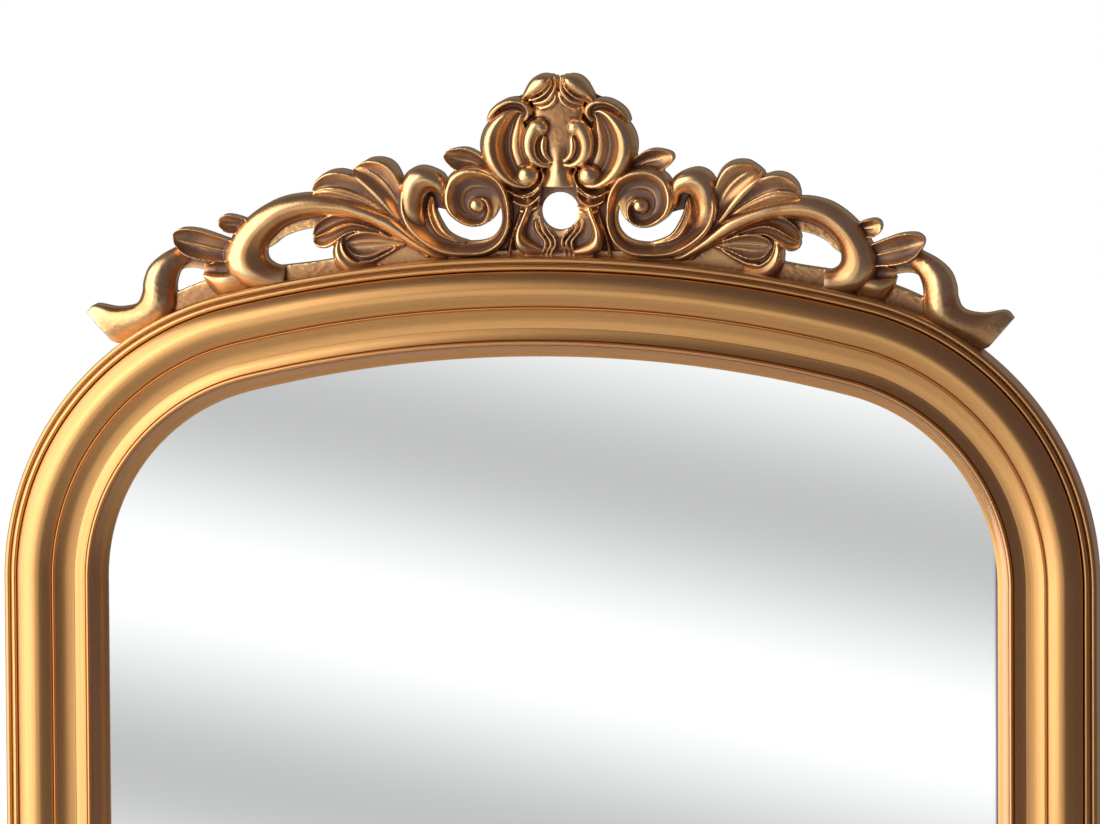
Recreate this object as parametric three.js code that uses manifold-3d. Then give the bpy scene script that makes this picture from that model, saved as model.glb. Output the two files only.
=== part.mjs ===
// Gilded wall mirror: an arched moulded frame, a pierced crest of scrolls and leaves on its head,
// silvered glass, a backing board, two keyhole hanger plates and their screws.
// Millimetres, +Z up, the front looks along -Y. The origin is on the wall plane, in the middle of
// the flat back of the head rail. "Rise" is the distance of a surface in front of the wall.
import * as THREE from 'three';
import { mergeVertices } from 'three/addons/utils/BufferGeometryUtils.js';
import Module from 'manifold-3d';

const wasm = await Module();
wasm.setup();

// Overall sizes
const WIDTH = 760;
const FRAME_HEIGHT = 886;
const MOULDING_WIDTH = 70;
const BACK_BAND = 50;
const APEX_Z = 24;
const BOTTOM_Z = APEX_Z - FRAME_HEIGHT;
const FIT_GAP = 0.3;
const CURVE_STEPS = 4;
const WELD = 0.02;
const SAME_POINT = 1e-4;

// The arched head: one crown arc between two shoulder arcs, then straight sides
const HALF_WIDTH = WIDTH / 2;
const CROWN_RADIUS = 933;
const SHOULDER_RADIUS = 205;
const BOTTOM_RADIUS = 90;
const SHOULDER_X = HALF_WIDTH - SHOULDER_RADIUS;
const SHOULDER_SWEEP = Math.acos(SHOULDER_X / (CROWN_RADIUS - SHOULDER_RADIUS));
const CROWN_Z = APEX_Z - CROWN_RADIUS;
const SPRING_Z = CROWN_Z + (CROWN_RADIUS - SHOULDER_RADIUS) * Math.sin(SHOULDER_SWEEP);
const CROWN_STEPS = 8;
const SHOULDER_STEPS = 8;
const BOTTOM_STEPS = 4;

// Rises of the moulding, from the outer edge to the sight edge
const EDGE_RISE = 24;
const OUTER_BEAD = { width: 4.5, top: 26 };
const INNER_BEAD = { width: 4.7, top: 28 };
const BEAD_GROOVE_RISE = 26;
const TORUS = { end: 34, shoulder: 33, control: [19, 48], facets: 4 };
const STEP = { width: 0.4, rise: 31 };
const COVE = { end: 57, rise: 30, control: [47, 22.5], facets: 3 };
const LIP_BEAD = { end: 60.5, top: 32.2 };
const LIP = { rise: 12.5, control: [63.5, 15.5], facets: 2 };

// Glass, board and the two steps of the rabbet that hold them
const GLASS_RABBET = 61;
const GLASS_FRONT = 9.7;
const GLASS_BACK = 5.7;
const BOARD_FRONT = GLASS_BACK - FIT_GAP;
const BOARD_BACK = 1;
const EDGE_PLAY = 0.8;

// Screws and hanger plates on the hidden back
const SCREW_SIDES = 6;
const OVERCUT = 1;
const BOARD_SCREW = { head: 3.4, shank: 1.7, cone: 2, length: 13, back: BOARD_BACK + 0.1 };
const HANGER_SCREW = { head: 2.9, shank: 1.6, cone: 1.6, length: 15, back: 0.4 };
const HANGER = { width: 20, height: 52, back: 0.3, front: 2.3, corner: 4, inset: 25, z: SPRING_Z - 28 };
const HANGER_SCREW_OFFSET = 20.5;
const HEAD_SCREW_TURN = 0.2;
const SIDE_SCREW_Z = [-397, -712];
const KEYHOLE = { entry: 5, slot: 2.7, entryZ: -7, slotZ: 7 };
const HANGER_POCKET = { width: 13, height: 30, depth: 12 };

// The crest: back, root and ground of the casting, and how far its carving drifts along the arch
const CREST_BACK = 2;
const CREST_ROOT = -3;
const GROUND = 12;
const DRIFT = { middle: 4.6, tail: -2.6, from: 130, to: 225 };
const RAIL = { end: 270, step: 30, high: 14.5, low: 9, swellsFrom: 60, swellsTo: 130, root: 4 };
const CENTRE_HOLE = { x: 0, z: 34.5, radius: 13, sides: 12 };
const VOLUTE_DISC = { x: 60, z: 39.5, radius: 16.8, rise: 11.5 };
const DOME_SIDES = 8;
const DOME_RINGS = 6;
const CUT_SIZE = 1000;
const SEAM = 1e-3;

const GOLD = { color: 0xb98a3c, roughness: 0.38, metalness: 0.85 };
const DEEP_GOLD = { color: 0xa87a35, roughness: 0.42, metalness: 0.85 };
const SILVERED = { color: 0xe8ebec, roughness: 0.02, metalness: 1 };
const FIBREBOARD = { color: 0x8a6a48, roughness: 0.85, metalness: 0 };
const ZINC_STEEL = { color: 0xb4b6b8, roughness: 0.4, metalness: 0.9 };

// A closed three.js geometry as a solid that can be joined and cut
function solid(geometry) {
  const bare = new THREE.BufferGeometry();
  bare.setAttribute('position', geometry.getAttribute('position').clone());
  bare.setIndex(geometry.index);
  const merged = mergeVertices(bare, SAME_POINT);
  const triVerts = [];
  for (let i = 0; i < merged.index.count; i += 3) {
    const [a, b, c] = [0, 1, 2].map((k) => merged.index.getX(i + k));
    if (a !== b && b !== c && c !== a) triVerts.push(a, b, c);
  }
  return new wasm.Manifold(new wasm.Mesh({
    numProp: 3,
    vertProperties: merged.getAttribute('position').array,
    triVerts: new Uint32Array(triVerts),
    tolerance: WELD,
  }));
}

function geometryOf(body) {
  const mesh = body.getMesh();
  const geometry = new THREE.BufferGeometry();
  geometry.setAttribute('position', new THREE.BufferAttribute(new Float32Array(mesh.vertProperties), 3));
  geometry.setIndex(new THREE.BufferAttribute(new Uint32Array(mesh.triVerts), 1));
  return geometry;
}

// Rings of equal length, one behind the other, as a closed skin with capped or joined ends
function skin(rings, endless) {
  const size = rings[0].length;
  const index = [];
  const last = endless ? rings.length : rings.length - 1;
  for (let i = 0; i < last; i += 1) {
    const here = i * size;
    const next = ((i + 1) % rings.length) * size;
    for (let j = 0; j < size; j += 1) {
      const k = (j + 1) % size;
      index.push(here + j, here + k, next + k, here + j, next + k, next + j);
    }
  }
  if (!endless) {
    const end = (rings.length - 1) * size;
    for (let j = 0; j < size / 2 - 1; j += 1) {
      const far = size - 1 - j;
      index.push(j, far, far - 1, j, far - 1, j + 1);
      index.push(end + j, end + far - 1, end + far, end + j, end + j + 1, end + far - 1);
    }
  }
  const geometry = new THREE.BufferGeometry();
  geometry.setAttribute('position', new THREE.Float32BufferAttribute(rings.flat(2), 3));
  geometry.setIndex(index);
  return geometry;
}

// A flat outline in X and Z as a slab between two rises
function slab(shape, back, front) {
  const options = { depth: front - back, bevelEnabled: false, curveSegments: CURVE_STEPS };
  const geometry = new THREE.ExtrudeGeometry(shape, options);
  return geometry.rotateX(Math.PI / 2).translate(0, -back, 0);
}

function box(width, height, back, front, x, z) {
  return new THREE.BoxGeometry(width, front - back, height).translate(x, -(front + back) / 2, z);
}

// Stations around the outer edge of the frame, each with its outward direction
function edgeStations() {
  const sweep = SHOULDER_SWEEP;
  const cornerX = HALF_WIDTH - BOTTOM_RADIUS;
  const cornerZ = BOTTOM_Z + BOTTOM_RADIUS;
  const arcs = [
    [SHOULDER_X, SPRING_Z, SHOULDER_RADIUS, 0, sweep, SHOULDER_STEPS],
    [0, CROWN_Z, CROWN_RADIUS, sweep, Math.PI - sweep, CROWN_STEPS],
    [-SHOULDER_X, SPRING_Z, SHOULDER_RADIUS, Math.PI - sweep, Math.PI, SHOULDER_STEPS],
    [-cornerX, cornerZ, BOTTOM_RADIUS, Math.PI, Math.PI * 1.5, BOTTOM_STEPS],
    [cornerX, cornerZ, BOTTOM_RADIUS, Math.PI * 1.5, Math.PI * 2, BOTTOM_STEPS],
  ];
  const stations = [];
  arcs.forEach(([x, z, radius, from, to, steps], number) => {
    const first = number === 1 || number === 2 ? 1 : 0;
    for (let i = first; i <= steps; i += 1) {
      const angle = from + ((to - from) * i) / steps;
      const [nx, nz] = [Math.cos(angle), Math.sin(angle)];
      stations.push({ x: x + radius * nx, z: z + radius * nz, nx, nz });
    }
  });
  return stations;
}

const EDGE = edgeStations();

function edgeShape(inset) {
  return new THREE.Shape(EDGE.map((s) => new THREE.Vector2(s.x - s.nx * inset, s.z - s.nz * inset)));
}

function bow(from, control, to, facets) {
  const curve = new THREE.QuadraticBezierCurve(...[from, control, to].map((p) => new THREE.Vector2(...p)));
  return curve.getPoints(facets).map((p) => [p.x, p.y]);
}

// Section of the moulding: distance in from the outer edge, and rise
function mouldingSection() {
  const beadEnd = OUTER_BEAD.width + INNER_BEAD.width;
  const secondBead = OUTER_BEAD.width + INNER_BEAD.width / 2;
  return [
    [0, 0],
    [0, EDGE_RISE],
    [OUTER_BEAD.width / 2, OUTER_BEAD.top],
    [OUTER_BEAD.width, EDGE_RISE],
    [secondBead, INNER_BEAD.top],
    ...bow([beadEnd, BEAD_GROOVE_RISE], TORUS.control, [TORUS.end, TORUS.shoulder], TORUS.facets),
    ...bow([TORUS.end + STEP.width, STEP.rise], COVE.control, [COVE.end, COVE.rise], COVE.facets),
    [(COVE.end + LIP_BEAD.end) / 2, LIP_BEAD.top],
    ...bow([LIP_BEAD.end, COVE.rise], LIP.control, [MOULDING_WIDTH, LIP.rise], LIP.facets),
    [MOULDING_WIDTH, GLASS_FRONT + FIT_GAP],
    [GLASS_RABBET, GLASS_FRONT + FIT_GAP],
    [GLASS_RABBET, GLASS_BACK],
    [BACK_BAND, GLASS_BACK],
    [BACK_BAND, 0],
  ];
}

// A countersunk screw driven in from the back
function screw({ head, shank, cone, length, back }, x, z) {
  const profile = [[0, 0], [head, 0], [shank, cone], [shank, length - shank], [0, length]];
  const points = profile.map(([radius, depth]) => new THREE.Vector2(radius, -back - depth));
  return new THREE.LatheGeometry(points.reverse(), SCREW_SIDES).translate(x, 0, z);
}

// A clear bore for its shank or its head, between two rises
function bore(radius, back, front, x, z) {
  const pin = new THREE.CylinderGeometry(radius + FIT_GAP, radius + FIT_GAP, front - back, SCREW_SIDES);
  return solid(pin.translate(x, -(front + back) / 2, z));
}

// Places of the screws in the board: three along the head, two on each side, one at the foot
function boardScrewPlaces() {
  const inset = (BACK_BAND + GLASS_RABBET) / 2;
  const side = HALF_WIDTH - inset;
  const crown = CROWN_RADIUS - inset;
  const places = [];
  for (const turn of [-HEAD_SCREW_TURN, 0, HEAD_SCREW_TURN]) {
    places.push([crown * Math.sin(turn), CROWN_Z + crown * Math.cos(turn)]);
  }
  for (const z of SIDE_SCREW_Z) {
    places.push([-side, z], [side, z]);
  }
  places.push([0, BOTTOM_Z + inset]);
  return places;
}

const BOARD_SCREWS = boardScrewPlaces();
const HANGERS = [-1, 1].map((side) => ({ side, x: side * (HALF_WIDTH - HANGER.inset), z: HANGER.z }));
const HANGER_SCREWS = HANGERS.flatMap(({ x, z }) => [1, -1].map((end) => [x, z + end * HANGER_SCREW_OFFSET]));

function makeFrame() {
  const section = mouldingSection();
  const rings = EDGE.map(({ x, z, nx, nz }) => (
    section.map(([inset, rise]) => [x - nx * inset, -rise, z - nz * inset])
  ));
  let body = solid(skin(rings.reverse(), true));
  for (const { x, z } of HANGERS) {
    const recess = [HANGER.width + 2 * FIT_GAP, HANGER.height + 2 * FIT_GAP];
    body = body.subtract(solid(box(...recess, -OVERCUT, HANGER.front + FIT_GAP, x, z)));
    body = body.subtract(solid(box(HANGER_POCKET.width, HANGER_POCKET.height, 0, HANGER_POCKET.depth, x, z)));
  }
  const bores = [
    ...BOARD_SCREWS.map((place) => [BOARD_SCREW, place]),
    ...HANGER_SCREWS.map((place) => [HANGER_SCREW, place]),
  ];
  for (const [{ shank, back, length }, [x, z]] of bores) {
    body = body.subtract(bore(shank, 0, back + length + OVERCUT, x, z));
  }
  return geometryOf(body);
}

function makeGlass() {
  return slab(edgeShape(GLASS_RABBET + EDGE_PLAY), GLASS_BACK, GLASS_FRONT);
}

function makeBoard() {
  let body = solid(slab(edgeShape(BACK_BAND + EDGE_PLAY), BOARD_BACK, BOARD_FRONT));
  for (const [x, z] of BOARD_SCREWS) {
    body = body.subtract(bore(BOARD_SCREW.head, -OVERCUT, GLASS_FRONT, x, z));
  }
  return geometryOf(body);
}

function roundedPlate(width, height, corner) {
  const shape = new THREE.Shape();
  const [x, y] = [width / 2 - corner, height / 2 - corner];
  shape.absarc(x, y, corner, 0, Math.PI / 2);
  shape.absarc(-x, y, corner, Math.PI / 2, Math.PI);
  shape.absarc(-x, -y, corner, Math.PI, Math.PI * 1.5);
  shape.absarc(x, -y, corner, Math.PI * 1.5, Math.PI * 2);
  return shape;
}

// The keyhole: a round entry for the screw head with a slot above it that the shank slides up
function keyhole() {
  const hole = new THREE.Path();
  const lean = Math.acos(KEYHOLE.slot / KEYHOLE.entry);
  hole.absarc(0, KEYHOLE.slotZ, KEYHOLE.slot, 0, Math.PI);
  hole.absarc(0, KEYHOLE.entryZ, KEYHOLE.entry, Math.PI - lean, Math.PI * 2 + lean);
  hole.closePath();
  return hole;
}

function makeHanger({ x, z }, screws) {
  const shape = roundedPlate(HANGER.width, HANGER.height, HANGER.corner);
  shape.holes.push(keyhole());
  let body = solid(slab(shape, HANGER.back, HANGER.front).translate(x, 0, z));
  for (const [screwX, screwZ] of screws) {
    body = body.subtract(bore(HANGER_SCREW.head, -OVERCUT, GLASS_FRONT, screwX, screwZ));
  }
  return geometryOf(body);
}

// Cross sections of the carving: how far across, and how high between the edge and the top
const FLAT = [[0, 1], [1, 1]];
const RIDGE = [[0, 0], [0.5, 1], [1, 0]];
const ROUND = [[0, 0], [0.25, 0.9], [0.75, 0.9], [1, 0]];
const LEANING = [[0, 0], [0.2, 0.9], [0.55, 0.85], [1, 0]];
const CHANNEL = [[0, 0.4], [0.18, 1], [0.55, 0], [1, 0.3]];
const SCOOP = [[0, 1], [0.3, 0.15], [0.7, 0.15], [1, 1]];
const FOLD = [[0, 0], [0.8, 1], [1, 0.5]];

// The crest is drawn as its right half, X out from its middle and Z up from the apex of the frame.
// Z of the arch at a place along it:
function archZ(x) {
  const crownEnd = CROWN_RADIUS * Math.cos(SHOULDER_SWEEP);
  if (x < crownEnd) return Math.sqrt(CROWN_RADIUS ** 2 - x ** 2) - CROWN_RADIUS;
  return SPRING_Z - APEX_Z + Math.sqrt(SHOULDER_RADIUS ** 2 - (x - SHOULDER_X) ** 2);
}

function along(values, t) {
  if (typeof values === 'number') return values;
  const place = t * (values.length - 1);
  const i = Math.min(Math.floor(place), values.length - 2);
  return THREE.MathUtils.lerp(values[i], values[i + 1], place - i);
}

function spline(line) {
  return new THREE.SplineCurve(line.map(([x, z]) => new THREE.Vector2(x, z)));
}

// One carved stroke between two edge lines, with a section that swells and fades along it.
// "top" and "edge" are the rises that the section runs between, "steps" the facets for each point.
function stroke({ form, top, edge = top, outer, inner, steps = 1 }) {
  const [left, right] = [spline(outer), spline(inner)];
  const facets = Math.round((outer.length - 1) * steps);
  const rings = [];
  for (let i = 0; i <= facets; i += 1) {
    const t = i / facets;
    const [a, b] = [left.getPoint(t), right.getPoint(t)];
    const [low, high] = [along(edge, t), along(top, t)];
    const face = form.map(([across, lift]) => {
      const point = a.clone().lerp(b, across);
      return [point.x, -THREE.MathUtils.lerp(low, high, lift), point.y];
    });
    const root = face.map(([x, , z]) => [x, -CREST_ROOT, z]).reverse();
    rings.push([...face, ...root]);
  }
  const body = solid(skin(rings, false));
  return body.volume() > 0 ? body : solid(skin(rings.reverse(), false));
}

function dome(x, z, radiusX, radiusZ, top) {
  const halfDepth = (top - CREST_BACK) / 2 + OVERCUT;
  const ball = new THREE.SphereGeometry(1, DOME_SIDES, DOME_RINGS).rotateX(Math.PI / 2);
  return solid(ball.scale(radiusX, halfDepth, radiusZ).translate(x, halfDepth - top, z));
}

// The rough ground that follows the arch: full height outside, low under the scrolls
function rail() {
  const outer = [];
  const inner = [];
  for (let x = RAIL.end; x >= -RAIL.step; x -= RAIL.step) {
    const swell = THREE.MathUtils.smoothstep(x, RAIL.swellsFrom, RAIL.swellsTo);
    const arch = archZ(Math.abs(x));
    outer.push([x, arch + THREE.MathUtils.lerp(RAIL.low, RAIL.high, swell)]);
    inner.push([x, arch - RAIL.root]);
  }
  return [stroke({ form: FLAT, top: GROUND, outer, inner })];
}

function tail() {
  const stemAndTail = stroke({
    form: LEANING,
    top: [20, 22, 24, 24, 22, 18, 17, 18],
    edge: [10, 10, 10, 11, 12, 14, 14, 16],
    outer: [
      [250, 10.5], [265, 3], [275.5, -5], [280.5, -14.5], [282, -26], [287, -34.5], [301, -36], [316, -34],
      [322, -39.5],
    ],
    inner: [
      [246, 0], [257, -4.5], [264, -12], [266, -22], [265, -33], [268, -46], [282, -55], [297, -61], [305, -59],
    ],
  });
  const earLeaf = stroke({
    form: SCOOP,
    top: [17, 20, 22, 21],
    edge: [11, 12, 14, 20],
    outer: [[219, 10], [231, 14.5], [243, 19], [253, 20.5], [261.5, 18.5]],
    inner: [[224, -4], [234, -3], [244, 0.5], [253, 4], [262, 15]],
  });
  const budLeaf = stroke({
    form: SCOOP,
    top: [16, 19, 18],
    edge: [11, 13, 17],
    outer: [[208, 24], [217, 27.5], [223.5, 29.5], [228, 28]],
    inner: [[214, 18], [219, 17.3], [224.5, 19.5], [229, 25]],
  });
  const cup = stroke({
    form: ROUND,
    top: [18, 19, 15],
    edge: 11,
    outer: [[212, -11], [221, -12.5], [231, -13.5], [241, -11.5]],
    inner: [[212, -27], [222, -28], [231, -27], [239, -18]],
  });
  const cupLining = stroke({
    form: SCOOP,
    top: 15,
    edge: 10,
    outer: [[220, -3], [231, -4.2], [239.5, -5.5]],
    inner: [[218, -14], [230, -15], [240.5, -13]],
  });
  return [stemAndTail, earLeaf, budLeaf, cup, cupLining];
}

function loop() {
  const stem = stroke({
    form: LEANING,
    top: [15, 17, 19, 20, 21, 22, 23, 24, 24, 23, 20],
    edge: [11, 11, 11, 11, 12, 12, 11, 10, 10, 10, 10],
    outer: [
      [90, 3], [112, 21], [131, 34.5], [150, 43.5], [170, 46.2], [190, 43.2], [207.5, 31.8], [220, 17],
      [228, 1], [221, -14], [188, -28],
    ],
    inner: [
      [97, 0], [116, 14.5], [134, 26], [151, 35], [169, 37.5], [184, 34.5], [194, 26], [199, 14],
      [199.5, 4], [197, -2], [187.5, -4],
    ],
  });
  const stemGround = stroke({
    form: FLAT,
    top: GROUND,
    outer: [[86, 4], [100, 17], [110, 30], [115, 42]],
    inner: [[92, 0], [105, 12], [116, 24], [122, 36]],
  });
  const web = stroke({
    form: FLAT,
    top: GROUND + 1,
    outer: [[202, 2], [201, 14], [196, 28], [181, 37], [163, 39]],
    inner: [[197.5, 2], [196.5, 11], [188, 17.5], [178, 21.5], [163, 24]],
  });
  return [stem, stemGround, web];
}

function acanthus() {
  const outerLobe = stroke({
    form: SCOOP,
    top: [16, 18, 20, 21, 20],
    edge: [13, 13, 14, 15, 19],
    outer: [[113, 26], [124, 41], [133, 50], [140.5, 56], [148, 59.5], [156, 62], [163.5, 59.5]],
    inner: [[112, 18], [126, 29], [137, 34], [148, 40], [158, 44.5], [165, 46.5], [168, 51.5]],
  });
  const upperLobe = stroke({
    form: SCOOP,
    top: [16, 19, 22, 23, 21],
    edge: [13, 13, 15, 16, 20],
    outer: [[108, 26], [113, 38], [115.3, 48], [117, 55], [120, 61.5], [125, 66.5], [131.5, 69]],
    inner: [[114, 24], [122, 35.5], [130, 44.5], [138, 53], [143, 60], [144, 64], [138.5, 67.8]],
  });
  const innerLobe = stroke({
    form: SCOOP,
    top: [15, 17, 19, 19, 17],
    edge: [12, 12, 13, 14, 16],
    outer: [[110, 15], [124, 23], [136, 29], [148, 33], [158, 33.3], [167, 29.5], [173.5, 22]],
    inner: [[113, 11], [126, 17], [138, 20.5], [148, 20], [156, 15.5], [163, 9.5], [173, 12.5]],
  });
  const curl = stroke({
    form: CHANNEL,
    top: [15, 17, 20, 19, 17],
    edge: [12, 12, 12, 13, 14],
    outer: [[110, 12], [128, 20.5], [145, 22], [157.5, 15], [159.5, 4], [152, -5.5], [138, -5], [124, 2]],
    inner: [[112, 9], [130, 13.5], [145, 15], [150, 13], [151, 9], [147, 4.5], [138, 3.5], [125, 7]],
    steps: 1.3,
  });
  const teardrop = stroke({
    form: SCOOP,
    top: [15, 17, 18],
    edge: [13, 12, 16],
    outer: [[112, 14], [128, 19], [142, 20.5], [151, 18]],
    inner: [[114, 10], [130, 9], [141, 6.5], [149, 12.5]],
  });
  const leafGround = stroke({
    form: FLAT,
    top: GROUND + 1,
    outer: [[160, 2], [148, 10], [132, 13], [116, 20], [104, 16], [96, 6]],
    inner: [[160, -12], [148, -11], [132, -9], [116, -7], [104, -5], [94, -4]],
  });
  return [outerLobe, upperLobe, innerLobe, curl, teardrop, leafGround];
}

function volute() {
  const scroll = stroke({
    form: CHANNEL,
    top: [22, 22, 21, 20, 20, 20, 21, 22, 22, 22, 22, 22, 21, 20, 19, 18, 17, 16],
    edge: [12, 12, 11, 10.5, 10, 10, 10, 11, 11, 11, 12, 12, 12, 12, 13, 13, 14, 15],
    outer: [
      [110, 52], [114, 44], [111, 31], [102, 17], [88, 7], [68, 4.3], [50, 8], [38.5, 18], [35.3, 31],
      [38.7, 46], [49, 59], [63, 64], [75, 58.5], [80.7, 44], [76, 30], [63, 23.5], [52.5, 28.5], [51, 35],
    ],
    inner: [
      [98, 50], [99, 41], [95, 28], [88, 18.5], [79, 13], [66, 10.7], [53, 12], [45, 17.5], [42, 28],
      [44.5, 42], [53, 50], [61, 49.5], [67, 45], [68.8, 38], [65, 30.5], [58.5, 28], [54, 30.5], [53, 34],
    ],
    steps: 1.3,
  });
  const hood = stroke({
    form: ROUND,
    top: [19, 24, 25, 25, 23, 19],
    edge: [10, 11, 12, 12, 12, 12],
    outer: [[80, 56.5], [86, 61.5], [96, 63.5], [105, 61.2], [111.3, 56], [114, 46], [112.5, 34]],
    inner: [[84, 47], [89, 45.5], [94.5, 46], [99, 47], [102.5, 45], [105, 39], [105.5, 31]],
  });
  const petal = stroke({
    form: RIDGE,
    top: [13, 17, 16, 12],
    edge: 10,
    outer: [[98.5, 40], [98, 30], [93, 20.5], [84, 13.5]],
    inner: [[92, 41], [90, 33], [87, 25], [82, 17.5]],
  });
  const hoodGround = stroke({
    form: FLAT,
    top: GROUND - 1,
    outer: [[102, 50], [92, 50], [78, 52]],
    inner: [[98, 30], [87.5, 34], [76.5, 31.5]],
  });
  const backLeaf = stroke({
    form: SCOOP,
    top: [14, 17, 19, 20, 18],
    edge: [12, 12, 13, 13, 17],
    outer: [[37, 52], [44, 62], [50, 68], [57, 74], [66, 77.5], [74, 77]],
    inner: [[42, 49], [48, 56], [55, 60], [63, 62.5], [71, 63], [77.8, 70.5]],
  });
  const disc = new THREE.Shape().absarc(VOLUTE_DISC.x, VOLUTE_DISC.z, VOLUTE_DISC.radius, 0, Math.PI * 2);
  const discGround = solid(slab(disc, CREST_ROOT, VOLUTE_DISC.rise));
  return [scroll, hood, petal, hoodGround, backLeaf, discGround, dome(60, 38.3, 5.6, 6, 20)];
}

function cartouche() {
  const sideScroll = stroke({
    form: ROUND,
    top: [14, 19, 21, 22, 23, 23, 23, 22, 21, 19, 16],
    edge: [11, 12, 12, 10, 9, 8, 8, 8, 9, 10, 11],
    outer: [
      [25, 97], [21.3, 104], [24, 110.5], [33, 113.2], [43, 108.3], [50.8, 98.5], [54.5, 85.5], [52.5, 71],
      [46, 59], [37, 51], [29, 53],
    ],
    inner: [
      [28.5, 99], [27.5, 104], [29, 108], [34, 108], [40, 102.5], [43.5, 94], [45, 85], [43.5, 75],
      [40, 66], [34.5, 58.5], [29.5, 57],
    ],
    steps: 1.2,
  });
  const outerRib = stroke({
    form: RIDGE,
    top: [14, 17, 17, 15],
    edge: 11,
    outer: [[18, 98], [28, 91.5], [33.5, 84], [34.7, 76], [32, 69]],
    inner: [[19, 94.5], [25.5, 88.5], [28, 82], [28.5, 76], [25, 69]],
  });
  const broadRib = stroke({
    form: ROUND,
    top: [16, 20, 21, 20, 17],
    edge: 11,
    outer: [[8, 98], [17, 96.5], [23, 88], [24.2, 79], [22, 70], [15, 63.8], [6, 63.5]],
    inner: [[7.5, 95], [12.5, 92.5], [16.5, 86.5], [17.2, 79], [15.5, 72.5], [12, 68], [7, 67.5]],
  });
  const innerRib = stroke({
    form: RIDGE,
    top: [14, 17, 16],
    edge: 11,
    outer: [[14.8, 84], [14.6, 76], [12, 69.5], [6.5, 65]],
    inner: [[11.5, 84], [10, 77], [7.5, 70.5], [4, 67.5]],
  });
  const topLobe = stroke({
    form: ROUND,
    top: [17, 23, 23, 20],
    edge: 11,
    outer: [[26.5, 113.5], [23.8, 119.5], [18.3, 125.3], [11, 128.5], [-1, 126.3]],
    inner: [[19, 112], [16, 116.5], [11.5, 120.5], [6, 123.5], [-1, 123]],
  });
  const upperFold = stroke({
    form: FOLD,
    top: [15, 19, 19],
    edge: GROUND,
    outer: [[21, 112], [13, 118.5], [7, 122.5], [-1, 125]],
    inner: [[17, 109], [12, 112], [6, 116], [-1, 119.5]],
  });
  const lowerFold = stroke({
    form: FOLD,
    top: [14, 17, 17],
    edge: GROUND,
    outer: [[17, 110], [10, 113], [5, 116], [-1, 120]],
    inner: [[14.5, 105.5], [9, 106.5], [4, 109.5], [-1, 114]],
  });
  const shield = stroke({
    form: ROUND,
    top: 15,
    edge: 13,
    outer: [[17, 112], [16, 95], [12, 75], [8, 62]],
    inner: [[-17, 112], [-16, 95], [-12, 75], [-8, 62]],
  });
  const collar = stroke({
    form: ROUND,
    top: [17, 18, 18, 16],
    edge: 11,
    outer: [[9.5, 69], [6.5, 62.5], [7.5, 56], [11.5, 50]],
    inner: [[-9.5, 69], [-6.5, 62.5], [-7.5, 56], [-11.5, 50]],
  });
  const groundEdge = [
    [43, -6], [40, 12], [38, 30], [38, 50], [42, 66], [45, 82], [43, 97], [31, 110], [12, 121],
  ];
  const middleGround = stroke({
    form: FLAT,
    top: GROUND - 1.5,
    outer: groundEdge,
    inner: groundEdge.map(([, z]) => [-RAIL.root, z]),
  });
  const ribs = [outerRib, broadRib, innerRib];
  const head = [topLobe, upperFold, lowerFold, shield, collar];
  return [sideScroll, ...ribs, ...head, middleGround, dome(25, 58.3, 7.4, 8.6, 22)];
}

function legs() {
  const folds = [
    [18, [[31.5, 50], [25, 51], [16, 54]], [[30, 46], [24, 44.2], [16, 48.5]]],
    [17, [[34, 46], [25, 46], [14.5, 50]], [[34, 41.5], [26.5, 38.5], [15, 44.5]]],
    [16, [[32, 40], [25, 40], [14, 44]], [[28, 32.5], [22, 33.3], [14.5, 39]]],
  ];
  const collarFolds = folds.map(([top, outer, inner]) => stroke({ form: FOLD, top, edge: 11, outer, inner }));
  const leg = stroke({
    form: ROUND,
    top: [15, 17, 19, 20, 17],
    edge: 11,
    outer: [[27.5, 34], [29.2, 26], [31.2, 17.5], [31, 9.5], [26, 4.5], [17, 3]],
    inner: [[19.5, 34], [22.5, 26], [23.8, 19], [21, 13.5], [16, 10], [13.5, 7]],
  });
  const legRim = stroke({
    form: RIDGE,
    top: [12, 14, 14, 13],
    edge: 10.5,
    outer: [[31, 28], [34, 19], [35, 10], [36, -3]],
    inner: [[28.5, 28], [30.8, 19], [31.5, 10], [29, -3]],
  });
  const flutes = [
    [[[20, 24], [19.7, 17], [16, 11.5], [13, 3]], [[14.5, 23], [12.5, 17], [10.8, 11.5], [10.8, 3]]],
    [[[13, 22.5], [11.7, 17], [10, 11.5], [10.3, 3.5]], [[9, 22], [5.5, 17], [3.2, 10.5], [7, 3.5]]],
  ];
  const fluteLeaves = flutes.map(([outer, inner]) => stroke({
    form: SCOOP, top: [13, 15, 15], edge: [11, 11, 13], outer, inner,
  }));
  return [...collarFolds, leg, legRim, ...fluteLeaves];
}

// Half of the crest, joined, pierced, and cut flat behind and on the middle plane
function crestHalf() {
  const pieces = [rail, tail, loop, acanthus, volute, cartouche, legs].flatMap((carve) => carve());
  const { x, z, radius, sides } = CENTRE_HOLE;
  const hole = new THREE.CylinderGeometry(radius, radius, CUT_SIZE, sides).translate(x, 0, z);
  const behind = box(CUT_SIZE, CUT_SIZE, CREST_BACK - CUT_SIZE, CREST_BACK, 0, 0);
  const otherHalf = box(CUT_SIZE, CUT_SIZE, -CUT_SIZE, CUT_SIZE, -CUT_SIZE / 2, 0);
  const whole = pieces.reduce((joined, piece) => joined.add(piece));
  return [hole, behind, otherHalf].reduce((rest, cut) => rest.subtract(solid(cut)), whole);
}

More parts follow.
